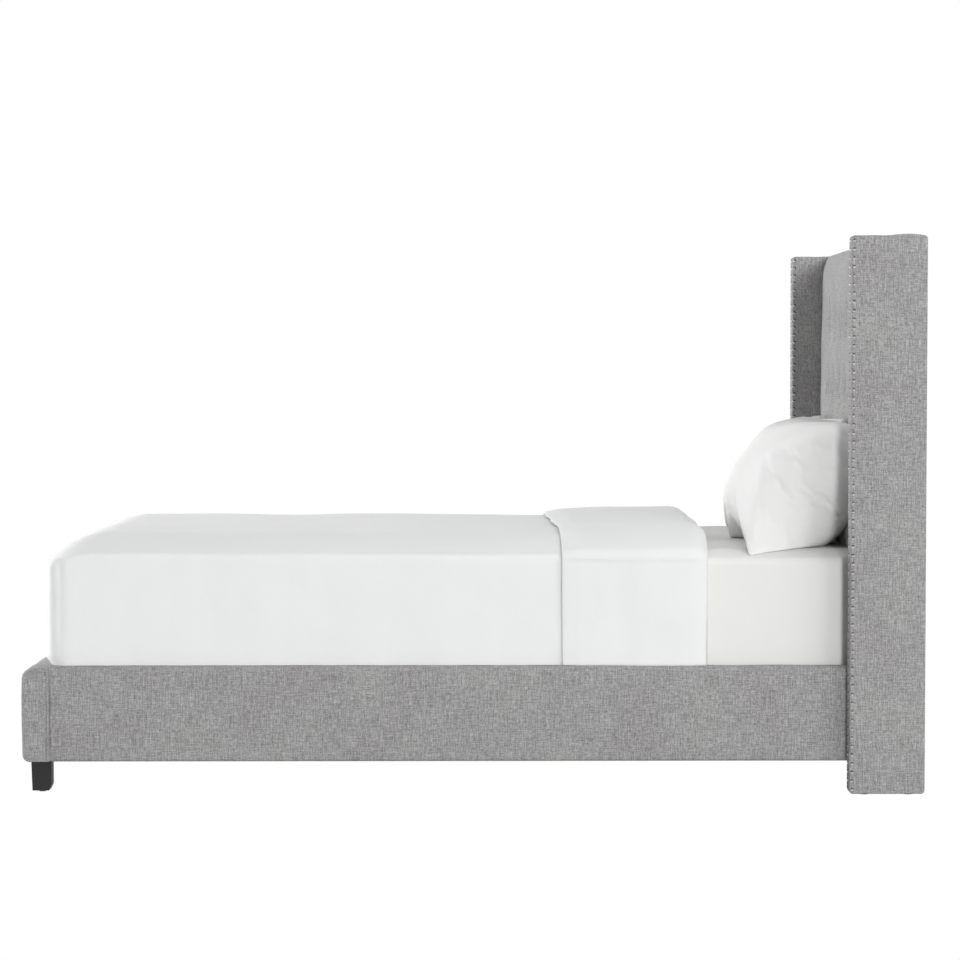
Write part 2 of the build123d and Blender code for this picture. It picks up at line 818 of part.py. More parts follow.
def frame_parts():
    """Every piece of the bed's frame, by name."""
    wing_cover, wing_foam, wing_core = wing_cover_and_filling()
    bolts_in_wing = wing_bolts()
    nails = wing_nails()
    panel_cover, panel_foam = panel_cover_and_foam()
    rail_cover, rail_foam, rail_board = side_rail()
    foot_cover, foot_foam, foot_board = footboard()
    ends = {"head": (frame_front, -1), "foot": (footboard_inner_face, 1)}
    bolts = {name: bracket_bolts(*end) for name, end in ends.items()}
    screws = {name: bracket_screws(*end) for name, end in ends.items()}
    inserts = {name: threaded_inserts(*end) for name, end in ends.items()}
    all_screws = screws["head"] + screws["foot"]
    brackets = {name: cut(rail_bracket(*end), bolts[name] + screws[name]) for name, end in ends.items()}
    hangers = both_sides([hanger_bolt()])
    ledger_screws = slat_screws()
    end_slats = both_sides(ledger_screws)
    head_holes = bolts["head"] + inserts["head"]
    foot_holes = both_sides(bolts["foot"] + inserts["foot"])
    middle_rail = headboard_rail(middle_rail_bottom, middle_rail_bottom + middle_rail_height)
    legs = leg_places()

    right = {
        "wing_cover": cut(wing_cover, bolts_in_wing),
        "wing_foam": cut(wing_foam, bolts_in_wing),
        "wing_core": cut(wing_core, bolts_in_wing),
        "wing_nails": nails,
        "headboard_stile": cut(headboard_stile(), bolts_in_wing + head_holes),
        "side_rail_cover": cut(rail_cover, all_screws),
        "side_rail_foam": rail_foam,
        "side_rail_board": cut(rail_board, all_screws),
        "slat_ledger": cut(slat_ledger(), ledger_screws),
        "head_bracket": brackets["head"],
        "foot_bracket": brackets["foot"],
        "foot": cut(foot(), hangers),
    }
    parts = {}
    for name, shape in right.items():
        shapes = shape if isinstance(shape, list) else [shape]
        parts[f"{name}_right"] = shapes
        parts[f"{name}_left"] = [other_side(item) for item in shapes]
    parts.update({
        "wing_bolts": both_sides(bolts_in_wing),
        "headboard_glides": both_sides(glides()),
        "headboard_top_rail": [headboard_rail(frame_top - top_rail_height, frame_top)],
        "headboard_middle_rail": [middle_rail],
        "headboard_bottom_rail": [headboard_rail(rail_bottom, rail_bottom + bottom_rail_height)],
        "headboard_board": [face_board()],
        "headboard_foam": [panel_foam],
        "headboard_cover": [cut(panel_cover, both_sides(bolts_in_wing))],
        "headboard_buttons": headboard_buttons(),
        "headboard_back_panel": [back_panel()],
        "bracket_bolts": both_sides(bolts["head"] + bolts["foot"]),
        "threaded_inserts": both_sides(inserts["head"] + inserts["foot"]),
        "bracket_screws": both_sides(all_screws),
        "footboard_board": [cut(foot_board, foot_holes + hangers)],
        "footboard_foam": [cut(foot_foam, foot_holes + hangers)],
        "footboard_cover": [cut(foot_cover, foot_holes + hangers)],
        "footboard_welts": both_sides([footboard_welt()]),
        "foot_hanger_bolts": hangers,
        "foot_glides": both_sides([foot_glide()]),
        "centre_beam": [centre_beam()],
        "beam_bracket_head": [beam_bracket(*ends["head"])],
        "beam_bracket_foot": [beam_bracket(*ends["foot"])],
        "leg_inserts": [leg_insert(x) for x in legs.values()],
        "slats": [cut(slat, end_slats) for slat in slats()],
        "slat_webbing": both_sides([slat_webbing()]),
        "slat_screws": end_slats,
    })
    for name, x in legs.items():
        parts[f"centre_leg_{name}"] = [centre_leg(x)]
        parts[f"leveller_{name}"] = [leveller(x)]
    return parts


def bedding_parts():
    """The mattress and what lies on it, by name."""
    right_pillow_end = pillow_right_margin - mattress_width / 2
    left_pillow_end = right_pillow_end + pillow_length + pillow_gap_between
    return {
        "mattress": [mattress()],
        "fitted_sheet": [fitted_sheet()],
        "duvet": [duvet()],
        "top_sheet": [top_sheet()],
        "pillow_right": [pillow(right_pillow_end)],
        "pillow_left": [pillow(left_pillow_end)],
    }


os.makedirs("parts", exist_ok=True)
for part_name, part_shapes in {**frame_parts(), **bedding_parts()}.items():
    solids = [solid for shape in part_shapes for solid in shape.solids()]
    export_step(Compound(solids), f"parts/{part_name}.step")
    print(part_name, len(solids))
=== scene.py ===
"""Looks of the wingback bed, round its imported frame. Metres, with the head at +X and up at +Z."""
import math

import bmesh
import bpy
import numpy as np
from mathutils import Matrix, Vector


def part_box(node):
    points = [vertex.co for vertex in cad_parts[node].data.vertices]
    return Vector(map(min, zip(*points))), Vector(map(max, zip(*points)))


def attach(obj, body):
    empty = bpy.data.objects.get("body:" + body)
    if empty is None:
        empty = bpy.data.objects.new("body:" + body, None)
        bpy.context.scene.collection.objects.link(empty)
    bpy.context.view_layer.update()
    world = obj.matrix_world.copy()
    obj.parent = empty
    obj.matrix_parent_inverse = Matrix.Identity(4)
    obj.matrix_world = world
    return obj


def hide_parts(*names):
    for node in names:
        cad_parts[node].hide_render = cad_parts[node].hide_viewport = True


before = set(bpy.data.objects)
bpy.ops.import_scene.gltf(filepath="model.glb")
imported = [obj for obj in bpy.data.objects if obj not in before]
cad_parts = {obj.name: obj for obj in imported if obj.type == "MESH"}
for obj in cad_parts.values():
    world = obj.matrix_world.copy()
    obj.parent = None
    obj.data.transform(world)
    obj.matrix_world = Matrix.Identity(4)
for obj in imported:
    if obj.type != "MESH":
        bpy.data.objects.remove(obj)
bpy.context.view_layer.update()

# Camera, fitted to the photograph
camera_place = (0.0098, -9.875, 1.0632)
camera_yaw = -0.00108
camera_pitch = 0.06084
camera_roll = 0.00117
focal_pixels = 3603.9
picture_pixels = 960
principal_row = 591.0
sensor_width = 36
view_reach = 1000

# Mesh
merge_distance = 0.00001
least_length = 1e-9
tube_sides = 10
ripple_waves = 7
cap_steps = 7
corner_steps = 6
end_steps = 10

# Wings
wing_edge_radius = 0.004
wing_end_radii = (0.010, 0.003)
wing_crown = 0.0012
wing_hump = 0.004
wing_hump_place_share = 0.74
wing_hump_width = 0.030
wing_top_share = 0.04
nail_pitch = 0.0218
nail_radius = 0.0045
nail_from_edge = 0.007
nail_puff = 0.0008
nail_puff_reach = 0.006

# Unevenness of the cloths, as pairs of height and wavelength
wing_ripple = (0.0005, 0.16)
wing_top_ripple = (0.0004, 0.05)
panel_ripple = (0.0012, 0.2)
back_ripple = (0.0008, 0.22)
rail_ripple = (0.0005, 0.2)
rail_top_ripple = (0.0007, 0.15)
footboard_ripple = (0.0006, 0.2)
footboard_top_ripple = (0.0008, 0.16)
sheet_side_ripple = (0.0010, 0.30)
sheet_top_ripple = (0.0012, 0.35)
duvet_top_ripple = (0.0022, 0.45)
duvet_side_ripple = (0.0022, 0.34)
duvet_fine_ripple = (0.0008, 0.12)
fold_foot_ripple = (0.002, 0.4)
fold_head_ripple = (0.003, 0.5)
fold_ripple = (0.0008, 0.18)

# Headboard panel
panel_bulge = 0.0088
panel_bulge_reach = 0.45
panel_top_rise = 0.004
panel_edge_depth = 0.018
panel_top_rounding = 0.072
panel_bottom_rounding = 0.030
panel_end_rounding = 0.014
panel_end_depth = 0.006
panel_rise_reach = 0.1
panel_rise_from_ends = 0.12
pad_inset = 0.003
back_radii = (0.001,) * 4
back_end_radii = (0.0012, 0.0012)
tuft_column_spacing = 0.153
tuft_columns = 9
tuft_row_spacing = 0.193
tuft_rows = 4
tuft_radius = 0.036
pleat_depth = 0.030
pleat_width = 0.009
pleat_length = 0.046
button_radius = 0.014
button_height = 0.008
button_sink = 0.001
button_turn_share = 0.62

# Side rails and footboard
rail_radii = (0.003, 0.014, 0.008, 0.003)
rail_end_radii = (0.004, 0.004)
rail_crown = 0.0015
rail_top_share = 0.1
footboard_radii = (0.004, 0.024, 0.018, 0.004)
footboard_end_radii = (0.005, 0.005)
footboard_crown = 0.0020
footboard_top_share = 0.15
welt_radius = 0.003
welt_inset = 0.005

# Bedding
mattress_corner_radius = 0.060
mattress_edge_radius = 0.020
mattress_quilt = 0.003
quilt_pitch = 0.16
quilt_edge_share = 0.03
tape_radius = 0.0045
tape_inset_share = 0.28
sheet_thickness = 0.0025
sheet_edge_radius = 0.016
sheet_crown = 0.024
mattress_crown = 0.028
sheet_crown_reach = 0.12
crown_fade = 0.1
duvet_edge_radius = 0.009
duvet_corner_radius = 0.042
duvet_thickness = 0.012
duvet_loft = 0.011
duvet_side_crown = 0.053
duvet_side_reach = 0.20
duvet_foot_crown = 0.061
duvet_foot_reach = 0.15
duvet_foot_slant_share = 0.12
duvet_tuck = 0.013
duvet_tuck_height = 0.022
duvet_slope = 0.003
duvet_slope_reach = 0.5
duvet_foot_slope_start = -0.5
duvet_head_slope_start = -0.2
duvet_end_rim = 0.009
hem_rounding = 0.0015
fold_foot_near = 0.227
fold_foot_far = 0.207
fold_head_near = 0.590
fold_head_far = 0.612
fold_thickness_foot = 0.012
fold_thickness_head = 0.020
fold_roll = 0.030
fold_roll_share = 0.11
fold_foot_taper = 0.05
fold_foot_rim = 0.014
fold_head_rim = 0.007
fold_hem_height = 0.012

# Pillows
case_width = 0.505
case_length = 0.745
case_loft = 0.020
case_cells = (56, 84)
case_pressure = 4.8
case_frames = 17
pillow_places = {"pillow_right": (0.857, -0.398, 0.757), "pillow_left": (0.888, 0.356, 0.752)}
pillow_leans = {"pillow_right": 0.838, "pillow_left": 0.93}
pillow_fullness_shares = {"pillow_right": 1.13, "pillow_left": 1.0}
rest_softness = 0.006

# Finishes: the sizes of their grain, and how deep it is
fleck_sizes = (0.0021, 0.012)
slub_sizes = (0.0028, 0.050)
thread_sizes = (0.0011, 0.0011)
knot_sizes = (0.0030, 0.0030)
drift_sizes = (0.16, 0.16)
linen_depth = 0.0008
cotton_thread_sizes = (0.0009,) * 3
mottle_sizes = (0.20,) * 3
crease_sizes = (0.05, 0.07, 0.06)
sheet_crease = 0.0016
pillow_crease = 0.0022
grain_width = 0.004
grain_length = 0.35
pore_depth = 0.0003
veneer_figure_sizes = (0.05, 0.45, 0.03)
veneer_pore_sizes = (0.001, 0.02, 0.001)
veneer_pore_depth = 0.0002
foam_cell_sizes = (0.002,) * 3
foam_cell_depth = 0.0008
steel_cloud_sizes = (0.02,) * 3
scratch_sizes = (0.0012, 0.0108, 0.0012)
scratch_depth = 0.0001
pewter_cloud_sizes = (0.006,) * 3
pewter_depth = 0.0002
lacquer_sizes = (0.002, 0.002, 0.03)
powder_sizes = (0.0012,) * 3
paint_depth = 0.0002
plastic_sizes = (0.0008,) * 3
plastic_depth = 0.0001
tape_along_sizes = (0.012, 0.0011, 0.0011)
tape_across_sizes = (0.0011, 0.012, 0.012)
tape_depth = 0.0005

# Lights
ambient_strength = 0.34
floor_size = 300
floor_shade = 0.6
# Azimuth, height and spread in degrees, and strength
suns = {"key": (27, 12, 14, 0.15), "facing": (5, 3, 6, 1.36)}
# Place, the point that it faces, size and watts
lamps = {
    "front": ((3.2, -3.4, 3.4), (0.4, -0.8, 0.6), 3.0, 70),
    "left": ((-5.5, 2.0, 1.1), (1, 0, 0.9), 2.4, 315),
    "above": ((-0.5, 0.6, 4.2), (-0.5, 0.61, 0), 3.0, 30),
}


# Shapes

def through(breaks, steps):
    """Values that run through the breaks, with a number of equal steps between each pair."""
    runs = [np.linspace(a, b, n, endpoint=False) for a, b, n in zip(breaks, breaks[1:], steps)]
    return np.concatenate(runs + [np.array(breaks[-1:])])


def smooth(value):
    """Runs from 0 to 1 with level ends as the value goes from 0 to 1."""
    share = np.clip(value, 0, 1)
    return share * share * (3 - 2 * share)


def near_top(share, band):
    """1 at the top of a piece, and 0 below a band of it. Both are shares of its height."""
    return smooth((share - 1 + band) / band)


def ripple(first, second, size, seed, lift=0):
    """Gentle unevenness of a height and a wavelength: sine waves in chance directions. A lift of 1 keeps it
    above nought, and one of -1 below."""
    height, wavelength = size
    chance = np.random.default_rng(seed)
    total = np.zeros(np.broadcast(first, second).shape)
    for turn, stretch, phase in chance.random((ripple_waves, 3)):
        number = 2 * math.pi / (wavelength * (0.6 + 0.9 * stretch))
        angle = turn * 2 * math.pi
        total += np.sin(number * (first * math.cos(angle) + second * math.sin(angle)) + phase * 2 * math.pi)
    return height * (lift + np.tanh(total / math.sqrt(ripple_waves)))


def grid_faces(rows, columns, wrap):
    """Corner numbers of a grid's quads. Wrap joins the last column to the first."""
    across = np.arange(columns + wrap) % columns
    index = np.arange(rows)[:, None] * columns + across
    corners = [index[:-1, :-1], index[:-1, 1:], index[1:, 1:], index[1:, :-1]]
    return np.stack(corners, -1).reshape(-1, 4)


def cloth_lengths(points, wrap):
    """The cloth's own coordinates: distances along the grid's middle row and along its first column."""
    whole = np.concatenate([points, points[:, :1]], 1) if wrap else points
    middle = whole[len(whole) // 2]
    across = np.concatenate([[0], np.linalg.norm(np.diff(middle, axis=0), axis=-1).cumsum()])
    along = np.concatenate([[0], np.linalg.norm(np.diff(whole[:, 0], axis=0), axis=-1).cumsum()])
    return np.stack(np.broadcast_arrays(across[None, :], along[:, None]), -1)


def grid_mesh(name, grids, wrap=False, upright=True, sealed=True, ends=None):
    """A mesh from one or more grids of points, with the cloth's own coordinates in metres as its UV map.
    Sealed merges the points that meet at seams and poles and turns the faces outwards. Ends names the two
    axes that the weave follows on a block's end faces."""
    points, faces, weave = [], [], []
    start = 0
    for grid in grids:
        rows, columns = grid.shape[:2]
        lengths = cloth_lengths(grid, wrap)
        if not upright:
            lengths = lengths[..., ::-1]
        points.append(grid.reshape(-1, 3))
        faces.append(grid_faces(rows, columns, wrap) + start)
        corners = lengths.reshape(-1, 2)[grid_faces(rows, columns + wrap, False)]
        if ends:
            row = np.arange(len(corners)) // (columns + wrap - 1)
            on_end = (row < cap_steps) | (row >= rows - 1 - cap_steps)
            corners[on_end] = grid.reshape(-1, 3)[grid_faces(rows, columns, wrap)][on_end][..., ends]
        weave.append(corners.reshape(-1, 2))
        start += rows * columns
    mesh = bpy.data.meshes.new(name)
    mesh.from_pydata(np.concatenate(points).tolist(), [], np.concatenate(faces).tolist())
    mesh.uv_layers.new(name="weave").data.foreach_set("uv", np.concatenate(weave).astype(np.float32).ravel())
    if sealed:
        seal(mesh)
    mesh.polygons.foreach_set("use_smooth", np.ones(len(mesh.polygons), bool))
    return mesh


def seal(mesh):
    """Merges the points that meet, and turns the faces outwards."""
    shape = bmesh.new()
    shape.from_mesh(mesh)
    bmesh.ops.remove_doubles(shape, verts=shape.verts, dist=merge_distance)
    bmesh.ops.recalc_face_normals(shape, faces=shape.faces)
    shape.to_mesh(mesh)
    shape.free()


def ring(half_first, half_second, radii, side_steps):
    """Points round a rectangle with its own radius at each corner, one row for each pair of half sizes:
    a quarter arc at each corner, and even steps along the straight side to the next one."""
    arcs = []
    for quarter, (first, second) in enumerate(((1, 1), (-1, 1), (-1, -1), (1, -1))):
        angle = (quarter + np.linspace(0, 1, corner_steps + 1)) * math.pi / 2
        radius = np.maximum(radii[:, quarter], 0)
        centre = np.stack([first * (half_first - radius), second * (half_second - radius)], -1)
        turn = np.stack([np.cos(angle), np.sin(angle)], -1)
        arcs.append(centre[:, None] + radius[:, None, None] * turn)
    outline = []
    for quarter, arc in enumerate(arcs):
        following = arcs[(quarter + 1) % len(arcs)]
        share = np.linspace(0, 1, side_steps[quarter % 2] + 1)[1:-1, None]
        outline += [arc, arc[:, -1:] + (following[:, :1] - arc[:, -1:]) * share]
    return np.concatenate(outline, 1)


def end_rows(half_small, end_radii, breaks, steps):
    """Rings along a block with rounded ends, as how far each is drawn in both ways and where it lies: from a
    line in the middle of one end, out to its edge, round it, along the block, and the same at the other end.
    Each way across has its own radius at the ends, a quarter circle."""
    depth = max(end_radii) * (1 - np.cos(np.linspace(0, math.pi / 2, end_steps + 1)))
    share = np.linspace(1, 0, cap_steps, endpoint=False)
    along = through(breaks, steps)
    middle = along[(along > along[0] + depth[-1]) & (along < along[-1] - depth[-1])]
    insets = []
    for radius in end_radii:
        flat = radius + (half_small - radius) * share
        left = np.clip(radius - depth, 0, radius)
        inset = np.concatenate([flat, radius - np.sqrt(radius ** 2 - left ** 2)])
        insets.append(np.concatenate([inset, 0 * middle, inset[::-1]]))
    reach = np.concatenate([0 * share, depth])
    return insets, np.concatenate([along[0] + reach, middle, (along[-1] - reach)[::-1]])


def block_grid(low, high, path, radii, end_radii, side_steps, path_steps):
    """A padded block between two corners, as rings carried along one axis: the cross-section has its own
    corner radii, and is drawn in to a line at both ends."""
    section = [axis for axis in range(3) if axis != path]
    half = [(high[axis] - low[axis]) / 2 for axis in section]
    middle = [(high[axis] + low[axis]) / 2 for axis in section]
    inset, place = end_rows(min(half), end_radii, (low[path], high[path]), path_steps)
    corner = np.array(radii)[None, :] - np.maximum(*inset)[:, None]
    flat = ring(half[0] - inset[0], half[1] - inset[1], corner, side_steps)
    points = np.zeros(flat.shape[:2] + (3,))
    points[..., section[0]] = flat[..., 0] + middle[0]
    points[..., section[1]] = flat[..., 1] + middle[1]
    points[..., path] = place[:, None]
    return points


def grid_normals(points):
    """Unit normals of a grid, from its neighbours along both directions."""
    normal = np.cross(np.gradient(points, axis=0), np.gradient(points, axis=1))
    return normal / np.maximum(np.linalg.norm(normal, axis=-1, keepdims=True), least_length)


def tube_grid(centres, sideways, outwards, radius):
    """A tube round a closed line of centres, from two unit directions square to the line."""
    angle = (np.arange(tube_sides) * 2 * math.pi / tube_sides)[None, :, None]
    across = np.cos(angle) * sideways[:, None] + np.sin(angle) * outwards[:, None]
    tube = centres[:, None] + radius * across
    return np.concatenate([tube, tube[:1]])


def outline_ahead(outline):
    """Unit direction along a closed flat outline at each of its points."""
    ahead = np.roll(outline, -1, 0) - np.roll(outline, 1, 0)
    return ahead / np.linalg.norm(ahead, axis=-1, keepdims=True)


def two_layers(middle, normal, thickness):
    """The two faces of a padded sheet, from its middle surface and its thickness, nought at its rim."""
    half = (thickness / 2)[..., None] * normal
    return [middle + half, middle - half]


def rounded_rim(distance, thickness, reach):
    """Thickness near a rim: a half circle's rise over a reach, then the whole thickness."""
    share = np.clip(distance / reach, 0, 1)
    return thickness * np.sqrt(1 - (1 - share) ** 2)


# Materials

class Signal:
    """An output of a shader node. Arithmetic on it adds the Math nodes."""

    def __init__(self, finish, socket):
        self.finish = finish
        self.socket = socket

    def calculate(self, operation, first, second):
        return self.finish.node("ShaderNodeMath", {"operation": operation}, {0: first, 1: second})

    def __add__(self, other):
        return self.calculate("ADD", self, other)

    def __radd__(self, other):
        return self.calculate("ADD", other, self)

    def __sub__(self, other):
        return self.calculate("SUBTRACT", self, other)

    def __rsub__(self, other):
        return self.calculate("SUBTRACT", other, self)

    def __mul__(self, other):
        return self.calculate("MULTIPLY", self, other)

    def __rmul__(self, other):
        return self.calculate("MULTIPLY", other, self)


class Shading:
    """A node tree, and the one method that adds nodes to it."""

    def __init__(self, tree):
        self.tree = tree

    def node(self, kind, settings=None, inputs=None, output=0):
        made = self.tree.nodes.new(kind)
        for key, value in (settings or {}).items():
            if key == "stops":
                self.set_stops(made.color_ramp, value)
            else:
                setattr(made, key, value)
        for key, value in (inputs or {}).items():
            if isinstance(value, Signal):
                self.tree.links.new(value.socket, made.inputs[key])
            else:
                made.inputs[key].default_value = value
        return Signal(self, made.outputs[output]) if made.outputs else None

    def set_stops(self, ramp, stops):
        while len(ramp.elements) < len(stops):
            ramp.elements.new(1)
        for element, (place, colour) in zip(ramp.elements, stops):
            element.position = place
            element.color = (*colour, 1) if hasattr(colour, "__len__") else (colour, colour, colour, 1)

    def background_seen(self):
        """1 where the camera, a reflection or a transmission sees the background."""
        camera_ray = self.node("ShaderNodeLightPath", output="Is Camera Ray")
        glossy_ray = self.node("ShaderNodeLightPath", output="Is Glossy Ray")
        return camera_ray + glossy_ray + self.node("ShaderNodeLightPath", output="Is Transmission Ray")


class Finish(Shading):
    """A material with a Principled shader, and what the finishes here are made of."""

    def __init__(self, name, constants):
        self.material = bpy.data.materials.new(name)
        self.material.use_nodes = True
        super().__init__(self.material.node_tree)
        self.shader = self.tree.nodes["Principled BSDF"]
        for socket, value in constants.items():
            self.shader.inputs[socket].default_value = value

    def feed(self, socket, signal):
        self.tree.links.new(signal.socket, self.shader.inputs[socket])

    def place(self):
        return self.node("ShaderNodeTexCoord", output="Object")

    def weave(self):
        return self.node("ShaderNodeUVMap", {"uv_map": "weave"})

    def scaled(self, vector, sizes, shift=0):
        """The vector in units of the given sizes, moved along by a shift."""
        scale = [1 / size for size in sizes] + [1] * (3 - len(sizes))
        inputs = {"Vector": vector, "Scale": scale, "Location": [shift] * 3}
        return self.node("ShaderNodeMapping", None, inputs)

    def noise(self, vector, sizes, shift=0, detail=2.0, roughness=0.5):
        """Noise of the given sizes, flat where there are two of them."""
        place = self.scaled(vector, sizes, shift)
        inputs = {"Vector": place, "Scale": 1.0, "Detail": detail, "Roughness": roughness}
        return self.node("ShaderNodeTexNoise", {"noise_dimensions": f"{len(sizes)}D"}, inputs)

    def wave(self, vector, sizes, axis):
        """A sine wave from 0 to 1, one period for each size along an axis."""
        settings = {"bands_direction": axis, "wave_profile": "SIN"}
        inputs = {"Vector": self.scaled(vector, sizes), "Scale": 1 / 20 * math.pi}
        return self.node("ShaderNodeTexWave", settings, inputs, "Fac")

    def multiplied(self, first, second):
        """One colour tinted by another."""
        settings = {"data_type": "RGBA", "blend_type": "MULTIPLY"}
        return self.node("ShaderNodeMix", settings, {0: 1.0, 6: first, 7: second}, 2)

    def ramp(self, factor, stops):
        return self.node("ShaderNodeValToRGB", {"stops": stops}, {0: factor})

    def colour(self, factor, stops):
        self.feed("Base Color", self.ramp(factor, stops))

    def bump(self, height, distance, strength=1.0):
        inputs = {"Height": height, "Distance": distance, "Strength": strength}
        self.feed("Normal", self.node("ShaderNodeBump", None, inputs))


def linen(name, dark, middle, light):
    """Heathered cross-woven upholstery cloth: short flecks of dark and light yarn both ways, longer slubs
    among them, and a slow colour drift."""
    finish = Finish(name, {"Roughness": 0.92, "Sheen Weight": 0.10, "Sheen Roughness": 0.6})
    cloth = finish.weave()
    warp_flecks = finish.noise(cloth, fleck_sizes, roughness=0.6)
    weft_flecks = finish.noise(cloth, fleck_sizes[::-1], 7.3, roughness=0.6)
    warp_slubs = finish.noise(cloth, slub_sizes, 3.1)
    weft_slubs = finish.noise(cloth, slub_sizes[::-1], 5.7)
    thread = finish.wave(cloth, thread_sizes, "X")
    cross = finish.wave(cloth, thread_sizes, "Y")
    knots = finish.noise(cloth, knot_sizes)
    drift = finish.noise(cloth, drift_sizes)
    yarns = 0.28 * warp_flecks + 0.25 * weft_flecks + 0.23 * warp_slubs + 0.17 * weft_slubs + 0.15 * knots
    relief = thread * cross
    tone = yarns + 0.08 * relief + 0.05 * drift - 0.085
    colour = finish.ramp(tone, [(0.34, dark), (0.50, middle), (0.66, light)])
    tints = [(0.3, (1.0, 0.972, 0.983)), (0.5, (1.0, 0.988, 0.997)), (0.7, (0.99, 0.99, 0.98))]
    finish.feed("Base Color", finish.multiplied(colour, finish.ramp(drift, tints)))
    finish.bump(0.5 * relief + 0.8 * yarns, linen_depth, 0.8)
    return finish.material


def cotton(name, shade, crease=sheet_crease):
    """Smooth bed linen: a fine even weave, faint creases and a trace of mottling."""
    finish = Finish(name, {"Roughness": 0.86, "Sheen Weight": 0.08, "Sheen Roughness": 0.5})
    place = finish.place()
    fine = finish.noise(place, cotton_thread_sizes, detail=1.0)
    slow = finish.noise(place, mottle_sizes)
    creases = finish.noise(place, crease_sizes, detail=3.0, roughness=0.55)
    finish.colour(0.5 * fine + 0.5 * slow, [(0.3, [c * 0.975 for c in shade]), (0.7, shade)])
    finish.bump(creases + 0.03 * fine, crease)
    return finish.material


def timber(name, light, dark, axis):
    """Planed wood with its grain along one axis."""
    finish = Finish(name, {"Roughness": 0.62})
    sizes = [grain_width * 3] * 3
    sizes[axis] = grain_length
    fine = [grain_width * 0.35] * 3
    fine[axis] = grain_length / 2
    place = finish.place()
    bands = finish.noise(place, sizes, detail=3.0, roughness=0.6)
    pores = finish.noise(place, fine, 2.2)
    finish.colour(0.65 * bands + 0.35 * pores, [(0.35, dark), (0.62, light)])
    finish.bump(pores, pore_depth, 0.5)
    return finish.material


def plywood():
    """Rotary-cut face veneer, with broad wandering figure."""
    finish = Finish("plywood", {"Roughness": 0.66})
    place = finish.place()
    figure = finish.noise(place, veneer_figure_sizes, detail=3.0, roughness=0.6)
    pores = finish.noise(place, veneer_pore_sizes)
    stops = [(0.35, (0.55, 0.41, 0.26)), (0.65, (0.78, 0.66, 0.48))]
    finish.colour(0.75 * figure + 0.25 * pores, stops)
    finish.bump(pores, veneer_pore_depth, 0.5)
    return finish.material


def foam():
    """Cut upholstery foam, open-celled and slightly yellowed."""
    finish = Finish("foam", {"Roughness": 0.95})
    cells = finish.noise(finish.place(), foam_cell_sizes)
    finish.colour(cells, [(0.35, (0.72, 0.66, 0.48)), (0.6, (0.88, 0.84, 0.70))])
    finish.bump(cells, foam_cell_depth)
    return finish.material


def metal(name, dark, light, roughness, wear):
    """Bare or plated metal, clouded and lightly scratched."""
    finish = Finish(name, {"Metallic": 1.0})
    place = finish.place()
    cloud = finish.noise(place, steel_cloud_sizes, detail=3.0)
    scratch = finish.noise(place, scratch_sizes)
    finish.colour(0.6 * cloud + 0.4 * scratch, [(0.35, dark), (0.65, light)])
    finish.feed("Roughness", roughness - wear / 2 + wear * scratch)
    finish.bump(scratch, scratch_depth, 0.3)
    return finish.material


def nail_metal_painted_highlight():
    """Pewter nail heads, slightly clouded, with painted light in their colour: painted shade on their upper
    halves and a painted highlight on their lower halves.
    """
    finish = Finish("nail_pewter", {"Metallic": 1.0, "Roughness": 0.38})
    faces = finish.node("ShaderNodeNewGeometry", output="Normal")
    # Painted light: the colour follows the normal's upward part, a bright painted highlight where the head
    # faces down and dark painted shade where it faces up.
    upwards = finish.node("ShaderNodeSeparateXYZ", None, {0: faces}, 2)
    cloud = finish.noise(finish.place(), pewter_cloud_sizes)
    stops = [(0.30, (0.62, 0.61, 0.60)), (0.50, (0.20, 0.20, 0.20)), (0.75, (0.05, 0.05, 0.05))]
    finish.colour(0.5 + 0.5 * upwards + 0.3 * cloud - 0.15, stops)
    finish.bump(cloud, pewter_depth, 0.3)
    return finish.material


def painted(name, shade, roughness, grain, depth, gloss=0.5):
    """A dark finish with a fine texture: satin lacquer on wood, powder coat or moulded plastic."""
    finish = Finish(name, {"Specular IOR Level": gloss})
    texture = finish.noise(finish.place(), grain, detail=3.0)
    light = [c * 1.5 for c in shade]
    finish.colour(texture, [(0.35, shade), (0.7, light)])
    finish.feed("Roughness", roughness - 0.06 + 0.12 * texture)
    finish.bump(texture, depth, 0.5)
    return finish.material


def tape_cloth(name, dark, light):
    """Coarse woven tape or backing cloth."""
    finish = Finish(name, {"Roughness": 0.93})
    place = finish.place()
    along = finish.noise(place, tape_along_sizes)
    across = finish.noise(place, tape_across_sizes, 4.4)
    finish.colour(0.5 * along + 0.5 * across, [(0.38, dark), (0.62, light)])
    finish.bump(along + across, tape_depth, 0.8)
    return finish.material


grey_linen = linen("grey_linen", 0.148, 0.320, 0.548)
backing_linen = linen("backing_linen", 0.125, 0.27, 0.46)
duvet_cotton = cotton("duvet_cotton", (0.855, 0.86, 0.86))
sheet_cotton = cotton("sheet_cotton", (0.82, 0.825, 0.80))
pillow_cotton = cotton("pillow_cotton", (0.855, 0.857, 0.85), pillow_crease)
ticking = tape_cloth("ticking", (0.72, 0.72, 0.70), (0.88, 0.88, 0.86))
webbing = tape_cloth("webbing", (0.05, 0.05, 0.05), (0.12, 0.12, 0.12))
pine_light, pine_dark = (0.74, 0.58, 0.38), (0.55, 0.38, 0.21)
pine = [timber(f"pine_{name}", pine_light, pine_dark, axis) for axis, name in enumerate("xyz")]
foot_black = painted("foot_black", (0.012, 0.012, 0.012), 0.55, lacquer_sizes, paint_depth, 0.2)
black_steel = painted("black_steel", (0.03, 0.03, 0.03), 0.5, powder_sizes, paint_depth)
glide_plastic = painted("glide_plastic", (0.05, 0.05, 0.05), 0.55, plastic_sizes, plastic_depth)
zinc_steel = metal("zinc_steel", (0.50, 0.51, 0.52), (0.72, 0.72, 0.70), 0.36, 0.06)
nail_pewter = nail_metal_painted_highlight()
plywood_board = plywood()
cut_foam = foam()


# Putting pieces on the frame

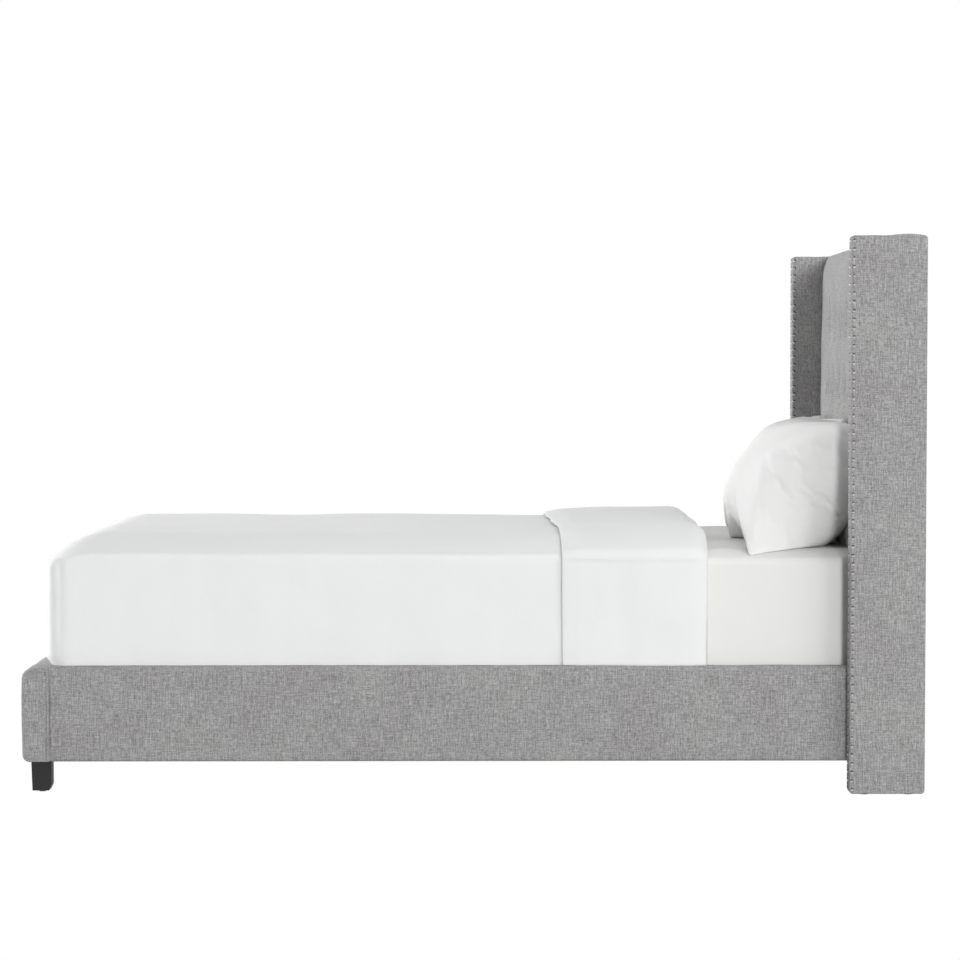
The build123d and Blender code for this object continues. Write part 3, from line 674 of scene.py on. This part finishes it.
def put(name, data):
    """A new object in the scene."""
    made = bpy.data.objects.new(name, data)
    bpy.context.scene.collection.objects.link(made)
    return made


def add_piece(mesh, finish, body, nodes):
    """Puts a mesh in the scene under its own name with its finish, on its body, in place of its nodes."""
    made = put(mesh.name, mesh)
    mesh.materials.append(finish)
    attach(made, body)
    if nodes:
        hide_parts(*nodes)
    return made


def refinish(names, finish):
    """Gives the frame's own pieces their finish."""
    for name in names:
        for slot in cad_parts[name].material_slots:
            slot.material = finish


def both(*names):
    return [f"{name}_{side}" for name in names for side in ("right", "left")]


refinish(both("wing_foam", "side_rail_foam") + ["footboard_foam"], cut_foam)
refinish(both("wing_core", "headboard_stile") + ["centre_leg_foot", "centre_leg_head"], pine[2])
refinish(["headboard_top_rail", "headboard_middle_rail", "headboard_bottom_rail"], pine[1])
refinish(["footboard_board", "slats"], pine[1])
refinish(both("side_rail_board", "slat_ledger") + ["centre_beam"], pine[0])
refinish(["headboard_board"], plywood_board)
refinish(["wing_bolts", "bracket_bolts", "threaded_inserts", "bracket_screws"], zinc_steel)
refinish(["foot_hanger_bolts", "slat_screws", "leg_inserts", "leveller_foot", "leveller_head"], zinc_steel)
refinish(both("head_bracket", "foot_bracket") + ["beam_bracket_head", "beam_bracket_foot"], black_steel)
refinish(both("foot"), foot_black)
refinish(["headboard_glides", "foot_glides"], glide_plastic)
refinish(["slat_webbing"], webbing)
refinish(both("wing_nails"), nail_pewter)


# Wings

def wing(side, mirror, seed):
    """A padded upright board covered in linen. Its outer face is crowned, it puffs up between the nail heads,
    and it has a low hump along its top. The place of each point gives all three."""
    low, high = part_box(f"wing_cover_{side}")
    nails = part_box(f"wing_nails_{side}")[0]
    first_nail = nails.z + nail_radius
    radii = [wing_edge_radius] * 4
    points = block_grid(low, high, 2, radii, wing_end_radii, (48, 16), (380,))
    x, y, z = np.moveaxis(points, -1, 0)
    half = (high.y - low.y) / 2
    across = (y - (high.y + low.y) / 2) / half * mirror
    outer = smooth(-across)
    inner = smooth(across)
    share = (x - low.x) / (high.x - low.x)
    height = (z - low.z) / (high.z - low.z)
    between = 0.5 - 0.5 * np.cos(2 * math.pi * (z - first_nail) / nail_pitch)
    on_sides = np.exp(-(((x - low.x - nail_from_edge) / nail_puff_reach) ** 2))
    crown = wing_crown * np.clip(4 * share * (1 - share), 0, 1)
    uneven = ripple(x, z, wing_ripple, seed, 1)
    push = outer * (crown + uneven) + (outer + inner) * nail_puff * between * on_sides
    points[..., 1] += np.sign(across) * mirror * push
    hump = np.exp(-(((share - wing_hump_place_share) * (high.x - low.x) / wing_hump_width) ** 2))
    rise = wing_hump * hump + ripple(x, y, wing_top_ripple, seed + 1, 1)
    points[..., 2] += near_top(height, wing_top_share) * rise
    mesh = grid_mesh(f"linen_wing_{side}", [points], wrap=True, ends=[0, 1])
    piece = add_piece(mesh, grey_linen, "frame", [f"wing_cover_{side}"])


wing("right", 1, 11)
wing("left", -1, 12)


# Headboard

panel_low, panel_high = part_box("headboard_cover")
buttons_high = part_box("headboard_buttons")[1]
first_column = -tuft_column_spacing * (tuft_columns - 1) / 2
top_row = buttons_high.z - button_radius


def tuft_field(side, height):
    """How strongly the tufts pull at a place of the panel, from 0 to 1, and how strongly their pleats do: a
    round dimple at each button, and a long narrow crease above and below it."""
    column = np.clip(np.round((side - first_column) / tuft_column_spacing), 0, tuft_columns - 1)
    row = np.clip(np.round((top_row - height) / tuft_row_spacing), 0, tuft_rows - 1)
    across = side - first_column - column * tuft_column_spacing
    along = height - top_row + row * tuft_row_spacing
    distance = np.sqrt(across ** 2 + along ** 2) / tuft_radius
    dimple = np.exp(-(distance ** 1.7))
    pleat = np.exp(-((across / pleat_width) ** 2) - (along / pleat_length) ** 2)
    return dimple, pleat


def panel_face(inset, seed):
    """The padded panel's face as a grid: up the bottom edge, the front and over the top, and across the bed.
    It bulges forward, is rounded at its edges and is pulled in at the tufts."""
    low, high = panel_low, panel_high
    half = high.y - inset
    bottom = low.z + inset
    top = high.z - inset
    run = through((0, 0.05, 0.95, 1), (14, 150, 26))
    height = bottom + (top - bottom) * smooth_ends(run)
    side = half * through((-1, -0.985, 0.985, 1), (5, 226, 5))
    height, side = np.meshgrid(height, side, indexing="ij")
    from_bottom = rounded_rim(height - bottom, 1, panel_bottom_rounding)
    fall = 1 - from_bottom * rounded_rim(top - height, 1, panel_top_rounding)
    fall_at_ends = 1 - rounded_rim(half - np.abs(side), 1, panel_end_rounding)
    dimple, pleat = tuft_field(side, height)
    depth = buttons_high.x - low.x + panel_bulge
    pulled = depth * dimple + pleat_depth * pleat * (1 - dimple)
    forward = panel_bulge * (0.25 + 0.75 * smooth((top - height) / panel_bulge_reach))
    swell = ripple(side, height, panel_ripple, seed)
    rolled = panel_edge_depth * fall + panel_end_depth * fall_at_ends
    x = low.x + inset - forward + swell * (1 - fall) + rolled + pulled * (1 - fall)
    near_top = smooth((height - top + panel_rise_reach) / panel_rise_reach)
    z = height + near_top * panel_top_rise * smooth((half - np.abs(side)) / panel_rise_from_ends)
    return np.stack([x, side, z], -1)


def smooth_ends(share):
    """Closer steps towards both ends."""
    return 0.5 - 0.5 * np.cos(math.pi * share) * (0.75 + 0.25 * np.cos(math.pi * share) ** 2)


def tufted_panel():
    """The panel's linen cover and the foam pad under it, both with the same tufts."""
    for name, inset, finish, node, slot in (
        ("linen_panel", 0, grey_linen, "headboard_cover", "linen"),
        ("foam_panel", pad_inset, cut_foam, "headboard_foam", "foam"),
    ):
        front = panel_face(inset, 21)
        first, last = front[0], front[-1]
        share = np.linspace(0, 1, 4, endpoint=False)[:, None, None]
        under = np.where([True, False, False], panel_high.x, first)
        over = np.where([True, False, False], panel_high.x, last)
        below = under + (first - under) * share
        above = (over + (last - over) * share)[::-1]
        points = np.concatenate([below, front, above])
        mesh = grid_mesh(name, [points], sealed=False)
        made = add_piece(mesh, finish, "frame", [node])
        node == "headboard_cover"


def button_grid(centre, seed):
    """A covered button: a low dome with a rolled edge, turned round its axis."""
    turn = np.linspace(0, math.pi * button_turn_share, 9)
    angle = np.arange(20) * 2 * math.pi / 20
    radius = button_radius * np.sin(turn)
    rise = button_height * (np.cos(turn) - np.cos(turn[-1])) / (1 - np.cos(turn[-1]))
    wobble = 1 + 0.02 * np.sin(3 * angle + seed)
    x = centre[0] - rise[:, None] + 0 * angle
    y = centre[1] + radius[:, None] * np.cos(angle) * wobble
    z = centre[2] + radius[:, None] * np.sin(angle) * wobble
    return np.stack([x, y, z], -1)


def headboard_buttons():
    """Linen-covered buttons, one at each tuft."""
    grids = []
    for row in range(tuft_rows):
        for column in range(tuft_columns):
            side = first_column + column * tuft_column_spacing
            height = top_row - row * tuft_row_spacing
            grids.append(button_grid((buttons_high.x - button_sink, side, height), row + column))
    mesh = grid_mesh("linen_buttons", grids, wrap=True)
    add_piece(mesh, grey_linen, "frame", ["headboard_buttons"])


def back_panel():
    """Linen stretched over the headboard's back board, slightly drawn in round its rim."""
    low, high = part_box("headboard_back_panel")
    points = block_grid(low, high, 2, back_radii, back_end_radii, (4, 160), (140,))
    y, z = points[..., 1], points[..., 2]
    rear = smooth((points[..., 0] - low.x) / (high.x - low.x))
    points[..., 0] += rear * ripple(y, z, back_ripple, 31, -1)
    mesh = grid_mesh("linen_back", [points], wrap=True)
    add_piece(mesh, backing_linen, "frame", ["headboard_back_panel"])


tufted_panel()
headboard_buttons()
back_panel()


# Side rails and footboard

def side_rail(side, mirror, seed):
    """A long padded board covered in linen, crowned a little on its outer face."""
    low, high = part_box(f"side_rail_cover_{side}")
    radii = rail_radii if mirror > 0 else [rail_radii[corner] for corner in (1, 0, 3, 2)]
    points = block_grid(low, high, 0, radii, rail_end_radii, (10, 56), (300,))
    x, y, z = np.moveaxis(points, -1, 0)
    across = (y - (high.y + low.y) / 2) / (high.y - low.y) * 2 * mirror
    height = (z - low.z) / (high.z - low.z)
    fullness = rail_crown * 4 * height * (1 - height)
    points[..., 1] -= mirror * smooth(-across) * (fullness + ripple(x, z, rail_ripple, seed, 1))
    points[..., 2] += near_top(height, rail_top_share) * ripple(x, y, rail_top_ripple, seed + 1, 1)
    mesh = grid_mesh(f"linen_rail_{side}", [points], wrap=True, upright=False, ends=[1, 2])
    piece = add_piece(mesh, grey_linen, "frame", [f"side_rail_cover_{side}"])


def footboard_fullness(x, z):
    """How far the footboard's foot face stands out at a place, and the share of that face there."""
    low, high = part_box("footboard_cover")
    facing = smooth(-(x - (high.x + low.x) / 2) / (high.x - low.x) * 2)
    height = np.clip((z - low.z) / (high.z - low.z), 0, 1)
    return footboard_crown * np.sin(math.pi * height ** 1.25), facing


def footboard():
    """The low padded footboard, fuller on its outer face and its top than a plain board."""
    low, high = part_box("footboard_cover")
    points = block_grid(low, high, 1, footboard_radii, footboard_end_radii, (18, 56), (220,))
    x, y, z = np.moveaxis(points, -1, 0)
    fullness, facing = footboard_fullness(x, z)
    height = (z - low.z) / (high.z - low.z)
    points[..., 0] -= facing * (fullness + ripple(y, z, footboard_ripple, 41, 1))
    points[..., 2] += near_top(height, footboard_top_share) * ripple(x, y, footboard_top_ripple, 42, 1)
    mesh = grid_mesh("linen_footboard", [points], wrap=True, upright=False, ends=[0, 2])
    piece = add_piece(mesh, grey_linen, "frame", ["footboard_cover"])


def footboard_welts():
    """Piping round the footboard's two end faces, a tube along the face's outline."""
    low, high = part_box("footboard_cover")
    half_x = (high.x - low.x) / 2 - welt_inset
    half_z = (high.z - low.z) / 2 - welt_inset
    radii = np.array([footboard_radii]) - welt_inset
    outline = ring(np.array([half_x]), np.array([half_z]), np.maximum(radii, welt_radius), (12, 44))[0]
    outline = outline + ((high.x + low.x) / 2, (high.z + low.z) / 2)
    ahead = outline_ahead(outline)
    outwards = np.stack([ahead[:, 1], 0 * ahead[:, 0], -ahead[:, 0]], -1)
    sideways = np.tile((0.0, 1.0, 0.0), (len(outline), 1))
    fullness, facing = footboard_fullness(outline[:, 0], outline[:, 1])
    shifted = outline[:, 0] - facing * fullness
    grids = []
    for place in (low.y, high.y):
        centres = np.stack([shifted, np.full(len(outline), place), outline[:, 1]], -1)
        grids.append(tube_grid(centres, sideways, outwards, welt_radius))
    mesh = grid_mesh("linen_welts", grids, wrap=True)
    add_piece(mesh, grey_linen, "frame", ["footboard_welts"])


side_rail("right", 1, 51)
side_rail("left", -1, 53)
footboard()
footboard_welts()


# Bedding

def mattress():
    """The mattress: soft edges, and a diamond quilting on its top and its underside."""
    low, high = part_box("mattress")
    radii = [mattress_corner_radius] * 4
    points = block_grid(low, high, 2, radii, (mattress_edge_radius,) * 2, (130, 96), (26,))
    x, y, z = np.moveaxis(points, -1, 0)
    level = (z - low.z) / (high.z - low.z)
    quilting = np.abs(np.sin(math.pi * (x + y) / quilt_pitch) * np.sin(math.pi * (x - y) / quilt_pitch))
    facing = near_top(level, quilt_edge_share) - near_top(1 - level, quilt_edge_share)
    points[..., 2] += facing * mattress_quilt * (np.sqrt(quilting) - 1)
    soft_top(points, low, high, mattress_crown)
    mesh = grid_mesh("quilted_mattress", [points], wrap=True)
    piece = add_piece(mesh, ticking, "mattress", ["mattress"])


def mattress_tapes():
    """Binding tape round the mattress's lower edge, a tube along its outline."""
    low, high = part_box("mattress")
    half_x, half_y = (high.x - low.x) / 2, (high.y - low.y) / 2
    draw = mattress_edge_radius * tape_inset_share
    radii = np.full((1, 4), mattress_corner_radius - draw)
    outline = ring(np.array([half_x - draw]), np.array([half_y - draw]), radii, (90, 70))[0]
    ahead = outline_ahead(outline)
    outwards = np.stack([ahead[:, 1], -ahead[:, 0], 0 * ahead[:, 0]], -1)
    upwards = np.tile((0.0, 0.0, 1.0), (len(outline), 1))
    x, y = (outline + ((high.x + low.x) / 2, (high.y + low.y) / 2)).T
    centres = np.stack([x, y, 0 * x + low.z + draw], -1)
    mesh = grid_mesh("mattress_tape", [tube_grid(centres, outwards, upwards, tape_radius)], wrap=True)
    add_piece(mesh, ticking, "mattress", [])


def drape_profile(bottom, top, edge_radius, side_steps, top_steps, half):
    """How far in and how high a cloth lies, from its hem up the side, round the edge and in to the middle,
    with its outward and upward directions."""
    turn = np.linspace(0, math.pi / 2, corner_steps + 5)
    side = through((bottom, bottom + 2 * hem_rounding, top - edge_radius), (5, side_steps))[:-1]
    inwards = np.linspace(edge_radius, half, top_steps)[1:]
    inset = np.concatenate([0 * side, edge_radius * (1 - np.cos(turn)), inwards])
    height = np.concatenate([side, top - edge_radius + edge_radius * np.sin(turn), 0 * inwards + top])
    out = np.concatenate([1 + 0 * side, np.cos(turn), 0 * inwards])
    up = np.concatenate([0 * side, np.sin(turn), 1 + 0 * inwards])
    return inset, height, out, up


def crown(distances, depth, reach):
    """How far a soft top lies below its middle, from its distances to the edges: each edge draws it down by
    a parabola over the reach, and two edges at a corner together."""
    return depth * np.sqrt(sum(np.clip(1 - distance / reach, 0, 1) ** 4 for distance in distances))


def lowered(height, drop, bottom, top):
    """Heights brought down by the drop, all of it at the top and less and less towards the bottom."""
    return height - drop * smooth((height - bottom) / (top - bottom))


def soft_top(points, low, high, depth):
    """Draws a cloth's top down towards the foot and both sides."""
    x, y, z = np.moveaxis(points, -1, 0)
    drop = crown((x - low.x, high.y - y, y - low.y), depth, sheet_crown_reach)
    points[..., 2] = lowered(z, drop, high.z - crown_fade, high.z)


def rows_at(flat, height):
    """Points or directions in space, from flat ones and a height for each row of them."""
    return np.concatenate([flat, np.broadcast_to(height[:, None, None], flat.shape[:2] + (1,))], -1)


def ring_turns(side_steps):
    """Outward direction of each point of a ring."""
    turns = []
    for quarter in range(4):
        angle = (quarter + np.linspace(0, 1, corner_steps + 1)) * math.pi / 2
        straight = np.full(side_steps[quarter % 2] - 1, (quarter + 1) * math.pi / 2)
        turns += [angle, straight]
    angle = np.concatenate(turns)
    return np.stack([np.cos(angle), np.sin(angle)], -1)


def fitted_sheet():
    """One thin cloth over the mattress's top and sides, with soft corners and a hem below."""
    low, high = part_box("fitted_sheet")
    half_x, half_y = (high.x - low.x) / 2, (high.y - low.y) / 2
    inset, height, out, up = drape_profile(low.z, high.z, sheet_edge_radius, 26, 40, half_y)
    steps = (110, 84)
    radii = np.maximum(mattress_corner_radius - inset[:, None], 0) * np.ones((1, 4))
    flat = ring(half_x - inset, half_y - inset, radii, steps)
    middle = rows_at(flat + ((high.x + low.x) / 2, (high.y + low.y) / 2), height)
    normal = rows_at(out[:, None, None] * ring_turns(steps), up)
    x, y, z = np.moveaxis(middle, -1, 0)
    uneven = ripple(x + y, z, sheet_side_ripple, 61) * out[:, None]
    uneven = uneven + ripple(x, y, sheet_top_ripple, 62) * up[:, None]
    soft_top(middle, low, high, sheet_crown)
    middle = middle + normal * (uneven - sheet_thickness / 2)[..., None]
    thickness = np.full(flat.shape[:2], sheet_thickness)
    thickness[0] = 0
    mesh = grid_mesh("cotton_fitted_sheet", two_layers(middle, normal, thickness), wrap=True)
    piece = add_piece(mesh, sheet_cotton, "mattress", ["fitted_sheet"])


def horseshoe(foot, head, half, radius, counts):
    """Points round three sides of the bed, one row for each set of sizes: from the head down the right side,
    across the foot and back up the left side, with rounded foot corners; and their outward directions."""
    side_count, corner_count, foot_count = counts
    along = np.linspace(0, 1, side_count, endpoint=False)[None, :]
    turn = np.linspace(0, math.pi / 2, corner_count)[None, :]
    across = np.linspace(-1, 1, foot_count + 2)[None, 1:-1]
    foot, half, radius = foot[:, None], half[:, None], radius[:, None]
    side_x = head + (foot + radius - head) * along
    corner_x = foot + radius * (1 - np.sin(turn))
    corner_y = -half + radius * (1 - np.cos(turn))
    foot_y = (half - radius) * across
    x = [side_x, corner_x, foot + 0 * foot_y, corner_x[:, ::-1], side_x[:, ::-1]]
    y = [-half + 0 * side_x, corner_y, foot_y, -corner_y[:, ::-1], half + 0 * side_x]
    out_x = [0 * along, -np.sin(turn), -1 + 0 * across, -np.sin(turn)[:, ::-1], 0 * along]
    out_y = [-1 + 0 * along, -np.cos(turn), 0 * across, np.cos(turn)[:, ::-1], 1 + 0 * along]
    x, y, out_x, out_y = [np.concatenate(part, 1) for part in (x, y, out_x, out_y)]
    return np.stack([x, y], -1), np.stack([out_x[0], out_y[0]], -1)


duvet_low, duvet_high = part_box("duvet")


def duvet_top(x, y):
    """Rise of the duvet's top above its level: fuller near the foot, lower towards the fold, and drawn down
    along the foot and both sides."""
    at_foot = smooth((duvet_foot_slope_start - x) / duvet_slope_reach)
    at_head = smooth((x - duvet_head_slope_start) / duvet_slope_reach)
    slow = duvet_slope * at_foot - duvet_slope * at_head + ripple(x, y, duvet_top_ripple, 71)
    sides = crown((duvet_high.y - y, y - duvet_low.y), duvet_side_crown, duvet_side_reach)
    foot = crown([x - duvet_low.x], duvet_foot_crown, duvet_foot_reach)
    return duvet_loft + slow - np.hypot(sides, foot * (1 - duvet_foot_slant_share * y / duvet_high.y))


def duvet_side(along, z):
    """Push of the duvet's sides outwards: slow soft folds that run mostly up and down."""
    return ripple(along, z * 0.25, duvet_side_ripple, 72) + ripple(along, z * 0.5, duvet_fine_ripple, 73)


def duvet():
    """The duvet: a padded cloth over the bed's top, both sides and the foot, tucked in above the rails."""
    low, high = duvet_low, duvet_high
    half = (high.y - low.y) / 2 - duvet_thickness / 2
    top = high.z - duvet_thickness / 2
    inset, height, out, up = drape_profile(low.z, top, duvet_edge_radius, 34, 56, half)
    radius = np.maximum(duvet_corner_radius - inset, 0)
    foot = low.x + duvet_thickness / 2 + inset
    flat, turn = horseshoe(foot, high.x, half - inset, radius, (110, 14, 86))
    middle = rows_at(flat, height)
    normal = rows_at(out[:, None, None] * turn, up)
    x, y, z = np.moveaxis(middle.copy(), -1, 0)
    across, along = np.abs(turn).T
    around = x * along + y * across
    tucked = duvet_tuck * (1 - smooth((z - low.z) / duvet_tuck_height)) * across
    middle[..., 2] = lowered(z, -duvet_top(x, y), low.z, high.z)
    middle = middle + normal * (out[:, None] * (duvet_side(around, z) - tucked))[..., None]
    hem = rounded_rim(z - low.z, duvet_thickness, hem_rounding)
    thickness = hem * rounded_rim(high.x - x, 1, duvet_end_rim)
    mesh = grid_mesh("cotton_duvet", two_layers(middle, normal, thickness))
    piece = add_piece(mesh, duvet_cotton, "mattress", ["duvet"])


def turned_down_sheet():
    """The sheet turned down over the duvet: a soft doubled band across the bed, on the duvet's top and sides.
    It swells towards the head and rolls over the duvet's end, and is wider on the far side."""
    half = (duvet_high.y - duvet_low.y) / 2
    bottom, top = duvet_low.z, duvet_high.z
    turn = np.linspace(0, math.pi / 2, 12)
    side_z = through((bottom, bottom + fold_hem_height, top - duvet_edge_radius), (6, 40))[:-1]
    inset = np.concatenate([0 * side_z, duvet_edge_radius * (1 - np.cos(turn))])
    level = np.concatenate([side_z, top - duvet_edge_radius * (1 - np.sin(turn))])
    across = np.linspace(duvet_edge_radius - half, half - duvet_edge_radius, 110)[1:-1]
    path_y = np.concatenate([inset - half, across, (half - inset)[::-1]])
    flat_z = np.concatenate([level, 0 * across + top, level[::-1]])
    share = through((0, 0.03, 1 - fold_roll_share, 1), (8, 60, 26))
    far = smooth((path_y / half + 1) / 2)
    foot_edge = fold_foot_near + (fold_foot_far - fold_foot_near) * far
    foot_edge = (foot_edge + ripple(path_y, flat_z, fold_foot_ripple, 81))[:, None]
    head_edge = fold_head_near + (fold_head_far - fold_head_near) * far
    head_edge = (head_edge + ripple(path_y, flat_z, fold_head_ripple, 82))[:, None]
    x = foot_edge + (head_edge - foot_edge) * share[None, :]
    y, flat_z = path_y[:, None] + 0 * x, flat_z[:, None] + 0 * x
    z = lowered(flat_z, -duvet_top(x, y), bottom, top)
    step_y, step_z = np.gradient(y, axis=0), np.gradient(z, axis=0)
    length = np.hypot(step_y, step_z)
    out_y, out_z = -step_z / length, step_y / length
    full = fold_thickness_foot + (fold_thickness_head - fold_thickness_foot) * smooth(share * 1.2)
    upward = np.clip(out_z, 0, 1)
    full = full[None, :] * (0.55 + 0.45 * upward)
    full = full * (0.45 + 0.55 * smooth((x - foot_edge) / fold_foot_taper))
    roll = np.clip((share - 1 + fold_roll_share) / fold_roll_share, 0, 1)[None, :]
    drop = fold_roll * (1 - np.sqrt(1 - roll ** 2)) * (0.3 + 0.7 * upward)
    beside = (1 - upward) * duvet_side(x, z)
    rim = np.minimum((x - foot_edge) / fold_foot_rim, (head_edge - x) / fold_head_rim)
    thickness = rounded_rim(rim, 1, 1) * full * rounded_rim(flat_z - bottom, 1, hem_rounding)
    distance = (duvet_thickness + thickness) / 2 + beside + ripple(x, y + z, fold_ripple, 83) - drop
    middle = np.stack([x, y + out_y * distance, z + out_z * distance], -1)
    mesh = grid_mesh("turned_down_sheet", two_layers(middle, -grid_normals(middle), thickness))
    piece = add_piece(mesh, duvet_cotton, "mattress", ["top_sheet"])


mattress()
mattress_tapes()
fitted_sheet()
duvet()
turned_down_sheet()


# Pillows

def flat_case():
    """Two flat square-cornered panels sewn together round the rim, with a little loft between them."""
    across = np.linspace(-1, 1, case_cells[0] + 1)
    along = np.linspace(-1, 1, case_cells[1] + 1)
    across, along = np.meshgrid(across, along, indexing="ij")
    height = case_loft * (1 - across ** 2) * (1 - along ** 2)
    x, y = across * case_width / 2, along * case_length / 2
    return grid_mesh("case", [np.stack([x, y, side * height], -1) for side in (1, -1)])


def mesh_points(mesh):
    """The mesh's points as an array."""
    points = np.empty(len(mesh.vertices) * 3, np.float32)
    mesh.vertices.foreach_get("co", points)
    return points.reshape(-1, 3).astype(float)


def inflated(mesh):
    """The case blown up by cloth simulation, as its points."""
    points = mesh_points(mesh)
    case = put("case", mesh)
    modifier = case.modifiers.new("cloth", "CLOTH")
    modifier.collision_settings.use_collision = False
    cloth = modifier.settings
    cloth.quality = 6
    cloth.mass = 0.15
    cloth.air_damping = 2
    cloth.tension_stiffness = 30
    cloth.compression_stiffness = 15
    cloth.shear_stiffness = 8
    cloth.bending_stiffness = 0.2
    cloth.use_pressure = True
    cloth.uniform_pressure_force = case_pressure
    cloth.effector_weights.gravity = 0
    for moment in range(1, case_frames + 1):
        bpy.context.scene.frame_set(moment)
    shaped = case.evaluated_get(bpy.context.evaluated_depsgraph_get())
    points = mesh_points(shaped.to_mesh())
    shaped.to_mesh_clear()
    bpy.data.objects.remove(case)
    bpy.context.scene.frame_set(1)
    return points


def softly_above(value, limit):
    """The value, or just above the limit where it would be lower, with a soft change between them."""
    return limit + rest_softness * np.logaddexp(0, (value - limit) / rest_softness)


def pillow(name, mesh, case, mirror):
    """A pillow that leans on the headboard: the blown-up case, turned, pressed flat where it rests on the
    sheet and against the panel."""
    place = pillow_places[name]
    lean = pillow_leans[name]
    across, along, out = case[:, 0], case[:, 1] * mirror, case[:, 2] * pillow_fullness_shares[name]
    x = place[0] + across * math.cos(lean) - out * math.sin(lean)
    z = place[2] + across * math.sin(lean) + out * math.cos(lean)
    y = place[1] + along
    low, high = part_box("fitted_sheet")
    side = np.clip(np.minimum(high.y - y, y - low.y), 0, sheet_edge_radius)
    rounding = sheet_edge_radius - np.sqrt(sheet_edge_radius ** 2 - (sheet_edge_radius - side) ** 2)
    z = softly_above(z, high.z - rounding - crown((high.y - y, y - low.y), sheet_crown, sheet_crown_reach))
    x = -softly_above(-x, panel_bulge - panel_low.x)
    piece_mesh = mesh.copy()
    piece_mesh.name = f"{name}_plump"
    piece_mesh.vertices.foreach_set("co", np.stack([x, y, z], -1).astype(np.float32).ravel())
    seal(piece_mesh)
    piece = add_piece(piece_mesh, pillow_cotton, name, [name])
    finer = piece.modifiers.new("finer", "SUBSURF")
    finer.levels = finer.render_levels = 1


case_mesh = flat_case()
case_points = inflated(case_mesh)
pillow("pillow_right", case_mesh, case_points, 1)
pillow("pillow_left", case_mesh, case_points, -1)


# Room: a pale floor, soft lamps and the camera

def emptied(block):
    """A world's or a material's node tree with nothing in it."""
    block.use_nodes = True
    block.node_tree.nodes.clear()
    return Shading(block.node_tree)


def white_world(ambient):
    """White where it is seen, and a plain soft light everywhere else."""
    world = bpy.data.worlds.new("studio")
    bpy.context.scene.world = world
    room = emptied(world)
    seen = room.background_seen()
    strength = seen + (1 - seen) * ambient
    light = room.node("ShaderNodeBackground", None, {"Color": (1, 1, 1, 1), "Strength": strength})
    room.node("ShaderNodeOutputWorld", None, {"Surface": light})


def floor(size, shade):
    """A pale floor, which shows as white as the background and gives its own soft light back."""
    corners = [(-size, -size, 0), (size, -size, 0), (size, size, 0), (-size, size, 0)]
    mesh = bpy.data.meshes.new("floor")
    mesh.from_pydata(corners, [], [(0, 1, 2, 3)])
    plane = put("floor", mesh)
    material = bpy.data.materials.new("pale_floor")
    room = emptied(material)
    matte = room.node("ShaderNodeBsdfDiffuse", None, {"Color": (shade, shade, shade, 1)})
    glow = room.node("ShaderNodeEmission")
    mixed = room.node("ShaderNodeMixShader", None, {0: room.background_seen(), 1: matte, 2: glow})
    room.node("ShaderNodeOutputMaterial", None, {"Surface": mixed})
    mesh.materials.append(material)


def lamp(name, place, aim, size, watts):
    """A large soft square lamp that faces a point."""
    data = bpy.data.lights.new(name, "AREA")
    data.size = size
    data.energy = watts
    made = put(name, data)
    place = np.array(place, float)
    back = place - np.array(aim, float)
    back /= np.linalg.norm(back)
    right = np.cross((0.0, 0.0, 1.0), back)
    right /= np.linalg.norm(right)
    up = np.cross(back, right)
    rows = [[*row, shift] for row, shift in zip(np.stack([right, up, back], 1), place)]
    made.matrix_world = Matrix(rows + [[0, 0, 0, 1]])


def sun(name, azimuth, elevation, spread, strength):
    """An even light from the front, turned to the right and up, with soft shadows. Angles are in degrees."""
    data = bpy.data.lights.new(name, "SUN")
    data.angle = math.radians(spread)
    data.energy = strength
    made = put(name, data)
    tipped = Matrix.Rotation(math.radians(90 - elevation), 4, "X")
    made.matrix_world = Matrix.Rotation(math.radians(azimuth), 4, "Z") @ tipped


def camera():
    """The photograph's camera: a long lens at bed height, shifted up a little."""
    data = bpy.data.cameras.new("camera")
    data.sensor_width = sensor_width
    data.lens = focal_pixels * data.sensor_width / picture_pixels
    data.shift_y = (principal_row - picture_pixels / 2) / picture_pixels
    data.clip_end = view_reach
    made = put("camera", data)
    turned = Matrix.Rotation(camera_yaw, 4, "Z") @ Matrix.Rotation(math.pi / 2 - camera_pitch, 4, "X")
    made.matrix_world = Matrix.Translation(camera_place) @ turned @ Matrix.Rotation(-camera_roll, 4, "Z")
    bpy.context.scene.camera = made


white_world(ambient_strength)
floor(floor_size, floor_shade)
for name, values in suns.items():
    sun(name, *values)
for name, values in lamps.items():
    lamp(name, *values)
camera()
bpy.context.scene.view_settings.view_transform = "Standard"
